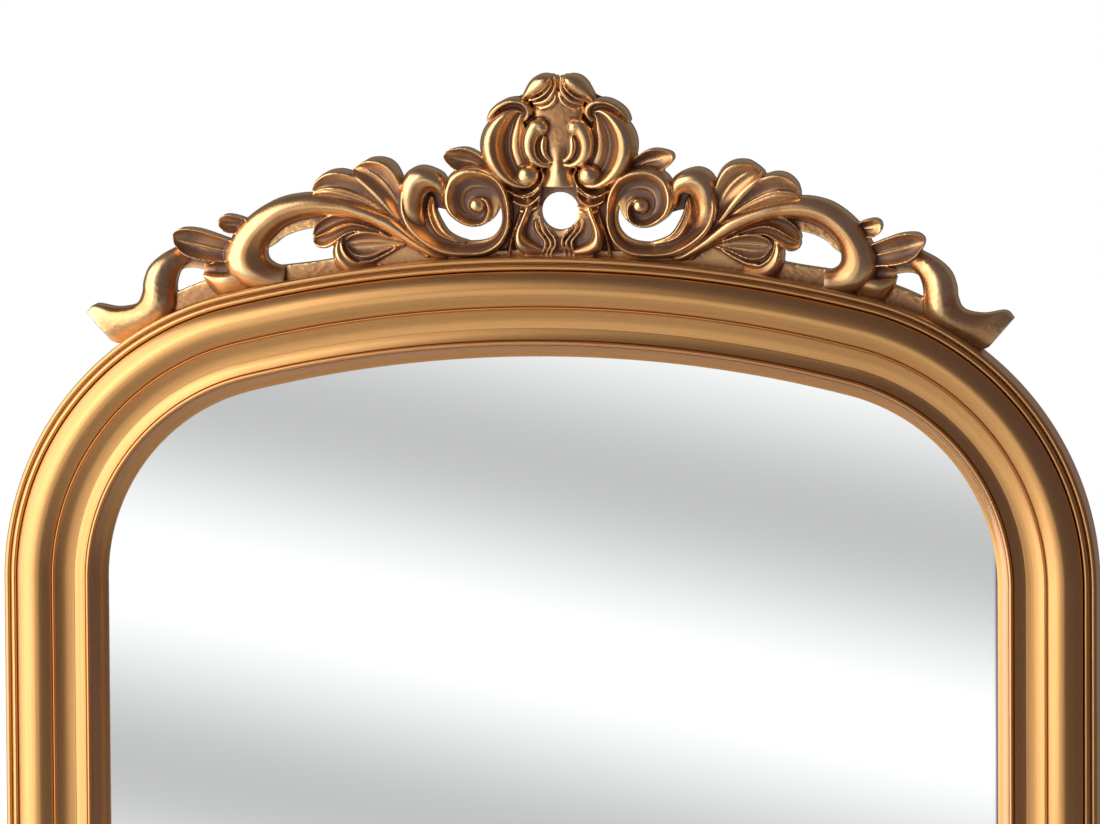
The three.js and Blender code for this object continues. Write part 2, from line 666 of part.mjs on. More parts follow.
// Both halves share the face on the middle plane, so it is left out and the rims are joined.
// The carving drifts a little off the frame's middle, and the whole is then seated on the arch.
function makeCrest() {
  const half = geometryOf(crestHalf());
  const position = half.getAttribute('position');
  const onMiddle = (i) => Math.abs(position.getX(i)) < SEAM;
  const points = [];
  const index = [];
  for (const side of [-1, 1]) {
    const offset = points.length / 3;
    for (let i = 0; i < position.count; i += 1) {
      const x = onMiddle(i) ? 0 : position.getX(i);
      const fade = THREE.MathUtils.smoothstep(x, DRIFT.from, DRIFT.to);
      const drift = THREE.MathUtils.lerp(DRIFT.middle, DRIFT.tail, fade);
      points.push(side * x + drift, position.getY(i), position.getZ(i) + APEX_Z);
    }
    for (let i = 0; i < half.index.count; i += 3) {
      const corner = [0, 1, 2].map((k) => half.index.getX(i + k));
      if (corner.every(onMiddle)) continue;
      if (side < 0) corner.reverse();
      index.push(...corner.map((k) => k + offset));
    }
  }
  const geometry = new THREE.BufferGeometry();
  geometry.setAttribute('position', new THREE.Float32BufferAttribute(points, 3));
  geometry.setIndex(index);
  const seat = slab(edgeShape(-FIT_GAP), CREST_ROOT, CUT_SIZE);
  return geometryOf(solid(geometry).subtract(solid(seat)));
}

const mirror = new THREE.Group();

function place(name, geometry, finish) {
  geometry.computeVertexNormals();
  const mesh = new THREE.Mesh(geometry, new THREE.MeshStandardMaterial(finish));
  mesh.name = name;
  mirror.add(mesh);
}

place('frame', makeFrame(), GOLD);
place('crest', makeCrest(), DEEP_GOLD);
place('mirror_glass', makeGlass(), SILVERED);
place('backing_board', makeBoard(), FIBREBOARD);
HANGERS.forEach((hanger, i) => {
  const name = hanger.side < 0 ? 'hanger_plate_left' : 'hanger_plate_right';
  place(name, makeHanger(hanger, HANGER_SCREWS.slice(2 * i, 2 * i + 2)), ZINC_STEEL);
});
HANGER_SCREWS.forEach(([x, z], i) => place(`hanger_screw_${i + 1}`, screw(HANGER_SCREW, x, z), ZINC_STEEL));
BOARD_SCREWS.forEach(([x, z], i) => place(`backing_screw_${i + 1}`, screw(BOARD_SCREW, x, z), ZINC_STEEL));

export default mirror;
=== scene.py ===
import math

import bpy
import numpy as np
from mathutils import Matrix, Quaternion, Vector, noise


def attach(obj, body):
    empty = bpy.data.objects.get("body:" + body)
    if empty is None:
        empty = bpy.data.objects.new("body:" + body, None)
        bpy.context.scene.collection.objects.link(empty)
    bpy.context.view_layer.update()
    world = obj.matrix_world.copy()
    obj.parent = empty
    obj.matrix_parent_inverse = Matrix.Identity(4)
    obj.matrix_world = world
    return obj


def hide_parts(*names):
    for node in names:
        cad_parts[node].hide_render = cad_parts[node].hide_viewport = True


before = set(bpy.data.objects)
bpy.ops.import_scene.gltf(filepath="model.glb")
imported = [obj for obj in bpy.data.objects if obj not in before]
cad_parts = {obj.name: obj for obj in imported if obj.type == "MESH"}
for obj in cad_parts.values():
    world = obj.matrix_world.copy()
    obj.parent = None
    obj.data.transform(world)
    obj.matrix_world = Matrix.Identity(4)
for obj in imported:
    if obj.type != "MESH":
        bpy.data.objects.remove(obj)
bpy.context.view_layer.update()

bpy.ops.object.select_all(action="DESELECT")
SCENE = bpy.context.scene
SCENE.view_settings.view_transform = "Standard"

# Sizes are in millimetres, as the part was drawn, and meshes are in metres.
# X runs to the right, Z up from the wall face, and a "rise" is a distance in front of the wall, along -Y.
MM = 0.001
HALF_WIDTH = 380
APEX_Z = 24
BOTTOM_Z = -862
CROWN_RADIUS = 933
SHOULDER_RADIUS = 205
CORNER_RADIUS = 90
SHOULDER_X = HALF_WIDTH - SHOULDER_RADIUS
SHOULDER_SWEEP = math.acos(SHOULDER_X / (CROWN_RADIUS - SHOULDER_RADIUS))
CROWN_Z = APEX_Z - CROWN_RADIUS
SPRING_Z = CROWN_Z + (CROWN_RADIUS - SHOULDER_RADIUS) * math.sin(SHOULDER_SWEEP)
CORNER_X = HALF_WIDTH - CORNER_RADIUS
CORNER_Z = BOTTOM_Z + CORNER_RADIUS
BACK_BAND = 50
EDGE_PLAY = 0.8
WELD = 0.01
TINY = 1e-6
OVERCUT = 1
FACES_WALL = 0.9
MOULDING_CREASE = 40

# Arcs of the frame's outer edge, anticlockwise from the right spring: centre, radius, start, turn, steps
HEAD_TURN = math.pi - 2 * SHOULDER_SWEEP
QUARTER = math.pi / 2
ARCS = {
    "right_shoulder": (SHOULDER_X, SPRING_Z, SHOULDER_RADIUS, 0, SHOULDER_SWEEP, 56),
    "crown": (0, CROWN_Z, CROWN_RADIUS, SHOULDER_SWEEP, HEAD_TURN, 84),
    "left_shoulder": (-SHOULDER_X, SPRING_Z, SHOULDER_RADIUS, math.pi - SHOULDER_SWEEP, SHOULDER_SWEEP, 56),
    "left_corner": (-CORNER_X, CORNER_Z, CORNER_RADIUS, math.pi, QUARTER, 30),
    "right_corner": (CORNER_X, CORNER_Z, CORNER_RADIUS, 3 * QUARTER, QUARTER, 30),
}


def pick(*pieces):
    bpy.ops.object.select_all(action="DESELECT")
    for piece in pieces:
        piece.select_set(True)
    bpy.context.view_layer.objects.active = pieces[0]


def points_of(piece):
    points = np.empty(len(piece.data.vertices) * 3)
    piece.data.vertices.foreach_get("co", points)
    return points.reshape(-1, 3)


def set_points(piece, points):
    piece.data.vertices.foreach_set("co", np.asarray(points).ravel())
    piece.data.update()


def name_it(piece, name):
    piece.name = piece.data.name = name
    return piece


def use_modifier(piece, kind, **settings):
    pick(piece)
    modifier = piece.modifiers.new(kind, kind)
    for setting, value in settings.items():
        setattr(modifier, setting, value)
    bpy.ops.object.modifier_apply(modifier=modifier.name)


def join(pieces):
    pick(*pieces)
    bpy.ops.object.join()
    return bpy.context.object


def cut(piece, *cutters):
    cutter = join(cutters)
    use_modifier(piece, "BOOLEAN", operation="DIFFERENCE", object=cutter, solver="MANIFOLD")
    bpy.data.objects.remove(cutter)


def smooth(piece, degrees=30):
    pick(piece)
    bpy.ops.object.shade_smooth_by_angle(angle=math.radians(degrees))


def finish(piece, node, slot, *materials):
    piece.data.materials.clear()
    for material in materials:
        piece.data.materials.append(material)
    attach(piece, "root")
    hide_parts(node)


def bare_behind(piece):
    """Gives the faces that look at the wall the piece's second finish."""
    for face in piece.data.polygons:
        if face.normal.y > FACES_WALL:
            face.material_index = 1


def paint(piece, name, values):
    piece.data.attributes.new(name, "FLOAT", "POINT").data.foreach_set("value", values)


def loop_of(points, name):
    bpy.ops.object.select_all(action="DESELECT")
    bpy.ops.mesh.primitive_circle_add(vertices=len(points))
    loop = name_it(bpy.context.object, name)
    set_points(loop, np.array(points) * MM)
    return loop


def edge_line(inset):
    """Points of the frame's outer edge, or of a line that runs inside it."""
    line = []
    for x, z, radius, start, turn, steps in ARCS.values():
        for i in range(steps + 1):
            angle = start + turn * i / steps
            line.append((x + (radius - inset) * math.cos(angle), z + (radius - inset) * math.sin(angle)))
    return [p for p, before in zip(line, line[-1:] + line[:-1]) if math.dist(p, before) > TINY]


def inset_of(x, z):
    """How far points lie inside the frame's outer edge."""
    side = np.abs(x)
    in_crown = (z > SPRING_Z) & (side < (z - CROWN_Z) / math.tan(SHOULDER_SWEEP))
    crown = CROWN_RADIUS - np.hypot(x, z - CROWN_Z)
    shoulder = SHOULDER_RADIUS - np.hypot(side - SHOULDER_X, z - SPRING_Z)
    corner = CORNER_RADIUS - np.hypot(side - CORNER_X, z - CORNER_Z)
    low = z < CORNER_Z
    cases = [in_crown, z > SPRING_Z, low & (side > CORNER_X), low]
    return np.select(cases, [crown, shoulder, corner, z - BOTTOM_Z], HALF_WIDTH - side)


def plate(points, back, front, name):
    """A flat outline of (x, z) points as a slab between two rises."""
    slab = loop_of([(x, -back, z) for x, z in points], name)
    bpy.ops.object.mode_set(mode="EDIT")
    bpy.ops.mesh.select_all(action="SELECT")
    bpy.ops.mesh.edge_face_add()
    bpy.ops.mesh.extrude_region_move(TRANSFORM_OT_translate={"value": (0, (back - front) * MM, 0)})
    bpy.ops.mesh.select_all(action="SELECT")
    bpy.ops.mesh.normals_make_consistent(inside=False)
    bpy.ops.object.mode_set(mode="OBJECT")
    return slab


def pin(x, z, radius, back, front, sides=32, tip=None):
    """A round pin along Y between two rises, or a cone where the tip has another radius."""
    bpy.ops.object.select_all(action="DESELECT")
    bpy.ops.mesh.primitive_cone_add(
        vertices=sides, radius1=radius * MM, radius2=(radius if tip is None else tip) * MM,
        depth=(front - back) * MM, location=(x * MM, -(front + back) / 2 * MM, z * MM),
        rotation=(QUARTER, 0, 0))
    bpy.ops.object.transform_apply()
    return bpy.context.object


def block(x, z, width, height, back, front):
    bpy.ops.object.select_all(action="DESELECT")
    bpy.ops.mesh.primitive_cube_add(size=MM, location=(x * MM, -(front + back) / 2 * MM, z * MM))
    bpy.context.object.scale = (width, front - back, height)
    bpy.ops.object.transform_apply()
    return bpy.context.object


# Moulding of the frame

def bow(start, control, end, steps):
    t = np.linspace(0, 1, steps + 1)[:, None]
    curve = (1 - t) ** 2 * np.array(start) + 2 * t * (1 - t) * np.array(control) + t ** 2 * np.array(end)
    return [tuple(p) for p in curve]


def bead(start, end, base, top, steps=12):
    middle, radius = (start + end) / 2, (end - start) / 2
    turns = [math.pi * i / steps for i in range(steps + 1)]
    return [(middle - radius * math.cos(a), base + (top - base) * math.sin(a)) for a in turns]


def moulding_section():
    """Inset and rise from the wall, round the outer edge and in to the sight edge, and back behind."""
    return [
        (0, 0), (0, 8), (0, 16), (0, 26.0),
        *bead(0, 4.3, 26.9, 29.2),
        (4.55, 26.9),
        *bead(4.8, 9.1, 28.4, 31.3),
        (9.35, 30.0),
        *bow((9.6, 31.6), (20.6, 44.4), (33.3, 33.4), 30),
        (33.6, 32.2), (33.9, 31.8), (34.3, 32.5), (34.8, 32.5), (35.2, 31.8),
        *bow((35.6, 31.0), (41, 27.0), (48.8, 26.9), 14),
        *bow((49.0, 26.6), (53, 27.1), (56.6, 29.5), 8),
        (56.9, 29.0),
        *bead(57.2, 60.2, 29.8, 32.2),
        (60.5, 29.0),
        *bow((60.8, 29.2), (63.5, 15.5), (69.0, 12.8), 16),
        (69.6, 12.5), (70, 12.0), (70, 10.0),
        (61, 10.0), (61, 5.7), (50, 5.7), (50, 0), (25, 0),
    ]


def section_hollows(section, reach=0.7):
    """How deep each point of the section lies under the line smoothed over the reach."""
    line = np.array(section)
    out = np.roll(line, -1, 0) - np.roll(line, 1, 0)
    normal = np.column_stack((-out[:, 1], out[:, 0])) / np.linalg.norm(out, axis=1)[:, None]
    near = np.exp(-((line[:, None] - line[None]) ** 2).sum(2) / (2 * reach ** 2))
    middle = near @ line / near.sum(1)[:, None]
    return ((middle - line) * normal).sum(1)


def extrude(x, z):
    bpy.ops.mesh.extrude_region_move(TRANSFORM_OT_translate={"value": (x * MM, 0, z * MM)})


def spin(arc):
    x, z, _, _, turn, steps = ARCS[arc]
    bpy.ops.mesh.spin(steps=steps, angle=turn, center=(x * MM, 0, z * MM), axis=(0, 1, 0))


def make_frame(gold, bare_back):
    section = moulding_section()
    moulding = loop_of([(0, -rise, BOTTOM_Z + inset) for inset, rise in section], "moulded_frame")
    bpy.ops.object.mode_set(mode="EDIT")
    bpy.ops.mesh.select_all(action="SELECT")
    extrude(CORNER_X, 0)
    spin("right_corner")
    extrude(0, SPRING_Z - CORNER_Z)
    spin("right_shoulder")
    spin("crown")
    spin("left_shoulder")
    extrude(0, CORNER_Z - SPRING_Z)
    spin("left_corner")
    extrude(CORNER_X, 0)
    bpy.ops.mesh.select_all(action="SELECT")
    bpy.ops.mesh.remove_doubles(threshold=WELD * MM)
    bpy.ops.mesh.normals_make_consistent(inside=False)
    bpy.ops.object.mode_set(mode="OBJECT")
    for x, z in HANGERS:
        recess_size = HANGER_WIDTH + 2 * HANGER_GAP, HANGER_HEIGHT + 2 * HANGER_GAP
        cut(moulding, block(x, z, *recess_size, -OVERCUT, HANGER_FRONT + HANGER_GAP))
        cut(moulding, block(x, z, POCKET_WIDTH, POCKET_HEIGHT, 0, POCKET_DEPTH))
    points = points_of(moulding) / MM
    inset = inset_of(points[:, 0], points[:, 2])
    place = np.column_stack((inset, -points[:, 1]))
    nearest = ((place[:, None] - np.array(section)[None]) ** 2).sum(2).argmin(1)
    paint(moulding, "hollow", section_hollows(section)[nearest])
    round_the_frame = np.abs(np.arctan2(points[:, 0], points[:, 2] - (SPRING_Z + BOTTOM_Z) / 2))
    across = moulding.data.attributes.new("across", "FLOAT_VECTOR", "POINT")
    across.data.foreach_set("vector", np.column_stack((place, round_the_frame)).ravel())
    smooth(moulding, MOULDING_CREASE)
    finish(moulding, "frame", "antique_gold", gold, bare_back)
    bare_behind(moulding)


# Carving of the crest: strokes between two edge lines, drawn as the right half.
# X runs out from the crest's middle and Z up from the frame's apex. make_crest mirrors the half, and moves
# the carving sideways by its drift and down by its sink, to where it stands on the arch.

CREST_BACK = 2
GROUND = 12
SEAT = 0.4
CREST_CUTTER = (-5, 60)
CREST_DRIFT = 7.6
TAIL_DRIFT = -0.5
DRIFT_FADES = (130, 260)
CREST_SINK = 2
SPRAY_BEGINS = (95, 125)
SPRAY_ENDS = (165, 215)
SPRAY_PULL = 3.5
SPRAY_SINK = 2.2
EYE_Z = 32.3
EYE_RADIUS = 13
ACROSS_STEPS = 24
ALONG_STEPS = 9
VOXEL = 0.55
CREST_SOFTENING = 4
CREST_TRIANGLES = 190000
GROOVE_REACH = 30
WELL_REACH = 250
STIPPLE = 0.35
STEM_STIPPLE = 0.15
LEAF_STIPPLE = 0.14
FAINT_STIPPLE = 0.12
STIPPLE_SIZE = 2.2
ROLL_PLACE = 0.9
ROLL_WIDTH = 0.08
VEIN_HEIGHT = 0.3
VEIN_WIDTH = 0.045
VEIN_FADES = 0.9
RAIL_HEIGHT = 6
RAIL_SWELL = 8.5
RAIL_SWELLS = (80, 130)
RAIL_ROOT = 4


def flat(a, t):
    return np.ones_like(a)


def ridge(a, t):
    return (1 - np.abs(2 * a - 1)) ** 1.2


def round_back(a, t):
    return np.sqrt(1 - np.abs(2 * a - 1) ** 2.2)


def horn(peak):
    """A round back that is highest at one place across."""
    bend = math.log(0.5) / math.log(peak)
    return lambda a, t: np.sin(math.pi * a ** bend).clip(0) ** 0.6


def section(*stops):
    """A section that runs smoothly through stops of (across, lift)."""
    places, lifts = np.array(stops).T
    slopes = np.gradient(lifts, places)

    def lift(a, t):
        i = (np.searchsorted(places, a, side="right") - 1).clip(0, len(places) - 2)
        span, step = places[i + 1] - places[i], lifts[i + 1] - lifts[i]
        w = (a - places[i]) / span
        lead, trail = slopes[i] * span, slopes[i + 1] * span
        return lifts[i] + w * (lead + w * (3 * step - 2 * lead - trail + w * (lead + trail - 2 * step)))
    return lift


def spoon(*veins):
    """A hollow leaf with a rolled rim, and raised veins that fade towards its tip."""
    def lift(a, t):
        rim = np.abs(2 * a - 1)
        roll = np.exp(-((rim - ROLL_PLACE) / ROLL_WIDTH) ** 2)
        bowl = 0.08 + 0.8 * rim ** 2.4 + 0.14 * roll
        for place in veins:
            vein = np.exp(-((a - place) / VEIN_WIDTH) ** 2)
            bowl = bowl + VEIN_HEIGHT * vein * (1 - VEIN_FADES * t)
        return bowl
    return lift


lip = section((0, 0.3), (0.1, 0.78), (0.2, 0.97), (0.27, 1), (0.38, 0.8), (0.62, 0.3), (0.85, 0.05), (1, 0))
fold = section((0, 0), (0.3, 0.3), (0.6, 0.8), (0.78, 1), (0.92, 0.75), (1, 0.2))
flank_leaf = section(
    (0, 0.2), (0.07, 0.78), (0.12, 0.98), (0.16, 1), (0.24, 0.88), (0.4, 0.64), (0.5, 0.56),
    (0.54, 0.62), (0.58, 0.56), (0.76, 0.64), (0.92, 0.9), (1, 0.8))
veined_leaf = section(
    (0, 0.4), (0.05, 0.9), (0.1, 1), (0.2, 0.86), (0.4, 0.62), (0.56, 0.62), (0.6, 0.74), (0.65, 0.66),
    (0.74, 0.7), (0.79, 0.6), (0.9, 0.5), (1, 0.1))
under_leaf = section((0, 1), (0.08, 0.94), (0.3, 0.45), (0.55, 0.4), (0.8, 0.8), (0.9, 0.86), (1, 0.3))
rolled_leaf = section(
    (0, 0.15), (0.12, 0.55), (0.28, 0.86), (0.42, 0.96), (0.6, 0.9), (0.78, 0.84), (0.88, 0.92),
    (0.93, 0.95), (1, 0.3))
finger = section(
    (0, 0.35), (0.06, 0.68), (0.13, 0.9), (0.21, 1), (0.29, 0.96), (0.37, 0.8), (0.45, 0.5),
    (0.51, 0.24), (0.57, 0.14), (0.68, 0.24), (0.8, 0.25), (0.9, 0.14), (1, 0.1))
petals = section(
    (0, 0.1), (0.2, 0.36), (0.35, 0.78), (0.43, 1), (0.52, 0.8), (0.68, 0.5), (0.8, 0.64), (0.88, 0.6),
    (1, 0.2))


def spline(values, t):
    """A smooth line through the values, numbers or points, at places from 0 to 1."""
    line = np.atleast_1d(np.array(values, float))
    if len(line) == 1:
        return np.full(t.shape, line[0])
    last = len(line) - 1
    i = np.floor(t * last).astype(int).clip(0, last - 1)
    w = t * last - i
    if line.ndim == 2:
        w = w[:, None]
    before, start, end, after = line[(i - 1).clip(0)], line[i], line[i + 1], line[(i + 2).clip(0, last)]
    lead, trail = (end - before) / 2, (after - start) / 2
    bend = 3 * (end - start) - 2 * lead - trail
    twist = 2 * (start - end) + lead + trail
    return start + w * (lead + w * (bend + w * twist))


def stroke(form, top, edge, outer, inner, finer=1, rough=0, root=0, tip=1):
    """One carved stroke: its section swells between the edge and top rises, and its back is flat.

    Along its length, from 0 to 1, it widens from a round end up to the place "root", and narrows to
    a round end from the place "tip".
    """
    bpy.ops.object.select_all(action="DESELECT")
    bpy.ops.mesh.primitive_grid_add(
        x_subdivisions=ACROSS_STEPS * finer, y_subdivisions=ALONG_STEPS * finer * (len(outer) - 1))
    piece = bpy.context.object
    a, t = ((points_of(piece) + 1) / 2).T[:2].clip(0, 1)
    near, far = spline(outer, t), spline(inner, t)
    opening = ((root - t) / max(root, TINY)).clip(0, 1)
    closing = ((t - tip) / max(1 - tip, TINY)).clip(0, 1)
    width = np.sqrt(1 - (opening + closing) ** 2)
    x, z = (near + (far - near) * (0.5 + (a - 0.5) * width)[:, None]).T
    low, high = spline(edge, t), spline(top, t)
    rise = low + (high - low) * form(a, t)
    if rough:
        grain = [noise.noise(Vector((u, v, 0)) / STIPPLE_SIZE) for u, v in zip(x, z)]
        rise = rise + rough * np.array(grain)
    set_points(piece, np.column_stack((x, -rise, z)) * MM)
    bpy.ops.object.mode_set(mode="EDIT")
    bpy.ops.mesh.select_all(action="SELECT")
    bpy.ops.mesh.extrude_region_move()
    bpy.ops.transform.resize(value=(1, 0, 1), center_override=(0, -CREST_BACK * MM, 0))
    bpy.ops.object.mode_set(mode="OBJECT")
    return piece


def ground(top, outer, inner, rough=0):
    return stroke(flat, top, top, outer, inner, finer=2 if rough else 1, rough=rough)


def dome(x, z, radius_x, radius_z, top):
    depth = 1.1 * radius_x
    bpy.ops.object.select_all(action="DESELECT")
    bpy.ops.mesh.primitive_uv_sphere_add(segments=40, ring_count=24, radius=MM)
    ball = bpy.context.object
    ball.scale = (radius_x, depth, radius_z)
    ball.location = (x * MM, (depth - top) * MM, z * MM)
    bpy.ops.object.transform_apply()
    return ball


def arch_z(x):
    if x < CROWN_RADIUS * math.cos(SHOULDER_SWEEP):
        return math.sqrt(CROWN_RADIUS ** 2 - x ** 2) - CROWN_RADIUS
    return SPRING_Z - APEX_Z + math.sqrt(SHOULDER_RADIUS ** 2 - (x - SHOULDER_X) ** 2)


def ease(value, start, end):
    w = np.clip((value - start) / (end - start), 0, 1)
    return w * w * (3 - 2 * w)


def rail():
    def stretch(rise, rough, *places):
        heights = [RAIL_HEIGHT + RAIL_SWELL * ease(x, *RAIL_SWELLS) for x in places]
        outer = [(x, arch_z(abs(x)) + height) for x, height in zip(places, heights)]
        return ground(rise, outer, [(x, arch_z(abs(x)) - RAIL_ROOT) for x in places], rough)
    return [
        stretch(GROUND, STIPPLE, 270, 245, 220, 195, 170, 150),
        stretch(GROUND - 0.5, 0, 152, 120, 90, 60, 30, 0, -30)]


def tail():
    stem = stroke(
        horn(0.42), [12, 14.5, 19, 22.5, 24, 24, 22.5, 20.5, 19, 18],
        [8, 10, 12, 13, 13, 13, 13, 13, 14, 16],
        [(250, 10.5), (259, 6.5), (270, 0.5), (278.5, -7.5), (282.3, -17), (283.5, -26), (288, -33.5),
         (301, -36), (316, -34), (322, -39.5)],
        [(244, 0), (251, -4), (256.5, -10), (259.5, -18), (260, -27), (261, -37), (266.5, -47),
         (281, -56), (297, -61), (305, -59)], finer=2, rough=STEM_STIPPLE)
    ear_leaf = stroke(
        spoon(0.52), [17, 20, 22, 21.5], [12, 13, 14, 17],
        [(219, 10), (231, 14.5), (243, 18.5), (253, 19.5), (261, 18)],
        [(224, -4), (234, -3.5), (244, -2), (253, 1.5), (261, 9)], finer=2, tip=0.8)
    bud_leaf = stroke(
        spoon(0.5), [16, 19, 18], [11, 13, 17],
        [(208, 24), (217, 27.5), (224, 29), (230, 28.5)],
        [(214, 17), (219, 16), (225, 16.5), (231, 20)], tip=0.7)
    cup = stroke(
        horn(0.3), [18, 19, 17], 11,
        [(212, -9.5), (221, -11), (231, -12), (241, -11.5)],
        [(212, -27), (222, -28), (231, -27), (239, -18)])
    cup_lining = stroke(
        spoon(), 14, 10,
        [(220, -3), (231, -4.2), (239.5, -5.5)],
        [(218, -14), (230, -15), (240.5, -13)])
    web = ground(
        10.5,
        [(233, -1), (241, 1), (249, 4), (256, 4), (262, -2)],
        [(233, -10.5), (241, -9.5), (248, -8.5), (255, -9.5), (261, -15)], FAINT_STIPPLE)
    return [stem, ear_leaf, bud_leaf, cup, cup_lining, web]


def loop():
    stem = stroke(
        horn(0.48), [13, 18, 20, 21, 21.5, 22, 22, 22.5, 23, 23.5, 24, 24, 24, 24, 23.5, 22, 21],
        [12, 14, 15, 15.5, 15.5, 15.5, 15.5, 15, 14.5, 14, 13.5, 13, 12, 12, 12, 12],
        [(78, 1.5), (86, 4.5), (99.5, 14.5), (114, 26), (123, 32), (136, 37.5), (150, 42), (161, 44.5),
         (170.5, 46), (180, 45.5), (192, 41.8), (203, 34.8), (213.5, 25), (222, 13.5), (227, 1.5),
         (225.5, -10), (217, -20), (203, -24.5), (189, -25)],
        [(79, -1), (87, 0), (102, 7), (114.5, 14.5), (124, 20), (136, 25.5), (149.5, 29.5),
         (160.5, 30.3), (170.5, 30), (179, 28), (187, 24), (193, 18.5), (197.5, 12.5), (200, 6.5),
         (200.3, 1.5), (199, -2), (196, -4.5), (193, -5.5), (189.5, -5.5)], finer=2)
    stem_ground = ground(
        GROUND + 3,
        [(86, 4), (100, 17), (110, 30), (115, 42)],
        [(92, 0), (105, 12), (116, 24), (122, 36)])
    web = ground(
        GROUND + 1,
        [(201, 7), (200, 11), (196, 18), (189, 24), (178, 29.5), (163, 32)],
        [(199.5, 6), (195.5, 9), (190, 14.5), (182, 19), (172.5, 22), (163, 24)], STIPPLE)
    return [stem, stem_ground, web]


def acanthus():
    upper_lobe = stroke(
        flank_leaf, [17, 19, 21, 22.5, 23, 23, 22, 19], [11, 11, 11.5, 12, 12, 12, 12, 13],
        [(105, 34), (108, 48), (111.5, 57.5), (115.5, 64.5), (121, 69.3), (128, 71.3), (135.5, 70.5),
         (142, 67)],
        [(114, 27), (119, 31.5), (124, 37), (130, 43.5), (136, 49.5), (141.5, 54.5), (146, 58.5),
         (147.5, 61.5)],
        finer=2, tip=0.84)
    outer_lobe = stroke(
        veined_leaf, [15, 18, 20, 21.5, 22.5, 22.5, 21.5, 20], [10, 10.5, 11, 12, 12, 12, 12.5],
        [(117, 32), (124, 41), (132.5, 50.5), (140.5, 57.5), (148, 61.5), (156, 63), (164, 61),
         (170, 55.5), (172.5, 49)],
        [(117.5, 26.5), (126, 31), (135, 34.5), (144, 37.5), (152, 40), (159, 41.5), (165, 42.5),
         (169, 43.5), (172, 45.5)], finer=2)
    inner_lobe = stroke(
        spoon(), [15, 17, 19, 20.5, 20.5, 20, 18], 12.5,
        [(116, 15), (125, 21), (132, 25), (141, 29.5), (150, 32), (157.5, 32), (165, 29.5),
         (170.5, 24.5), (173, 17.5)],
        [(117, 13.5), (125, 18.5), (131.6, 21.5), (139.2, 24), (148, 25.5), (156, 23.5), (163, 19.5),
         (168, 17), (172, 15.5)], finer=2)
    under_lobe = stroke(
        under_leaf, [14, 16, 18, 19, 19, 18, 17], [11, 11, 11, 11.5, 12, 12, 12],
        [(118, 14), (125, 19), (131.6, 22), (139.2, 24.5), (148, 26), (156, 24), (163, 20), (168, 17.5),
         (172.5, 15)],
        [(119, 12.5), (126, 17), (134, 19.5), (143, 20), (150.5, 18), (156.5, 13.5), (161.5, 9.3),
         (166, 8), (170.5, 9.3), (172.5, 13)], finer=2)
    teardrop = stroke(
        spoon(0.4, 0.62), [14.5, 16.5, 18, 18.5, 18.5], 12.8,
        [(109, 11), (115, 13.8), (122, 17), (131.5, 19.6), (140.5, 19.8), (147.5, 17.8), (152, 14.4)],
        [(109, 10), (118, 9.2), (125.4, 6.8), (131.6, 3.8), (138, 2.6), (145, 3.8), (151.5, 9.5)],
        finer=2, tip=0.86)
    curl = stroke(
        rolled_leaf, [6, 7.5, 9.5, 12, 15.5, 18.7, 20.5, 20.5, 19, 16],
        [5, 6, 7, 8.5, 10, 11.5, 12, 12, 12, 11],
        [(105, 2), (113, -2), (122, -6), (132, -9.5), (143, -12.5), (152, -10), (158.3, -2.5),
         (160.3, 5), (159, 11), (156, 15.5)],
        [(108, 10), (113, 9), (119, 6.6), (126, 3.2), (133, 0), (141, -0.8), (147.5, 2), (151.5, 6.8),
         (153.2, 11.5), (153, 16.5)], finer=2)
    leaf_edge = stroke(
        round_back, [13, 14, 14.8, 15.8, 17, 18], 12,
        [(108, 9), (114, 7.7), (120, 5), (127, 1.4), (134, -1.8), (141.5, -2.4)],
        [(109, 10.6), (115, 9.9), (121, 7.2), (128, 3.9), (134.7, 1.2), (141.5, 0.6)])
    leaf_ground = ground(
        GROUND + 0.6,
        [(155, 13), (149, 18), (138, 20), (125, 20), (116, 20), (104, 12), (92, 4), (80, 1)],
        [(155, -6), (149, -11), (138, -11), (125, -9), (116, -7), (104, -5), (92, -4), (80, -3)],
        LEAF_STIPPLE)
    return [upper_lobe, outer_lobe, inner_lobe, under_lobe, teardrop, curl, leaf_edge, leaf_ground]


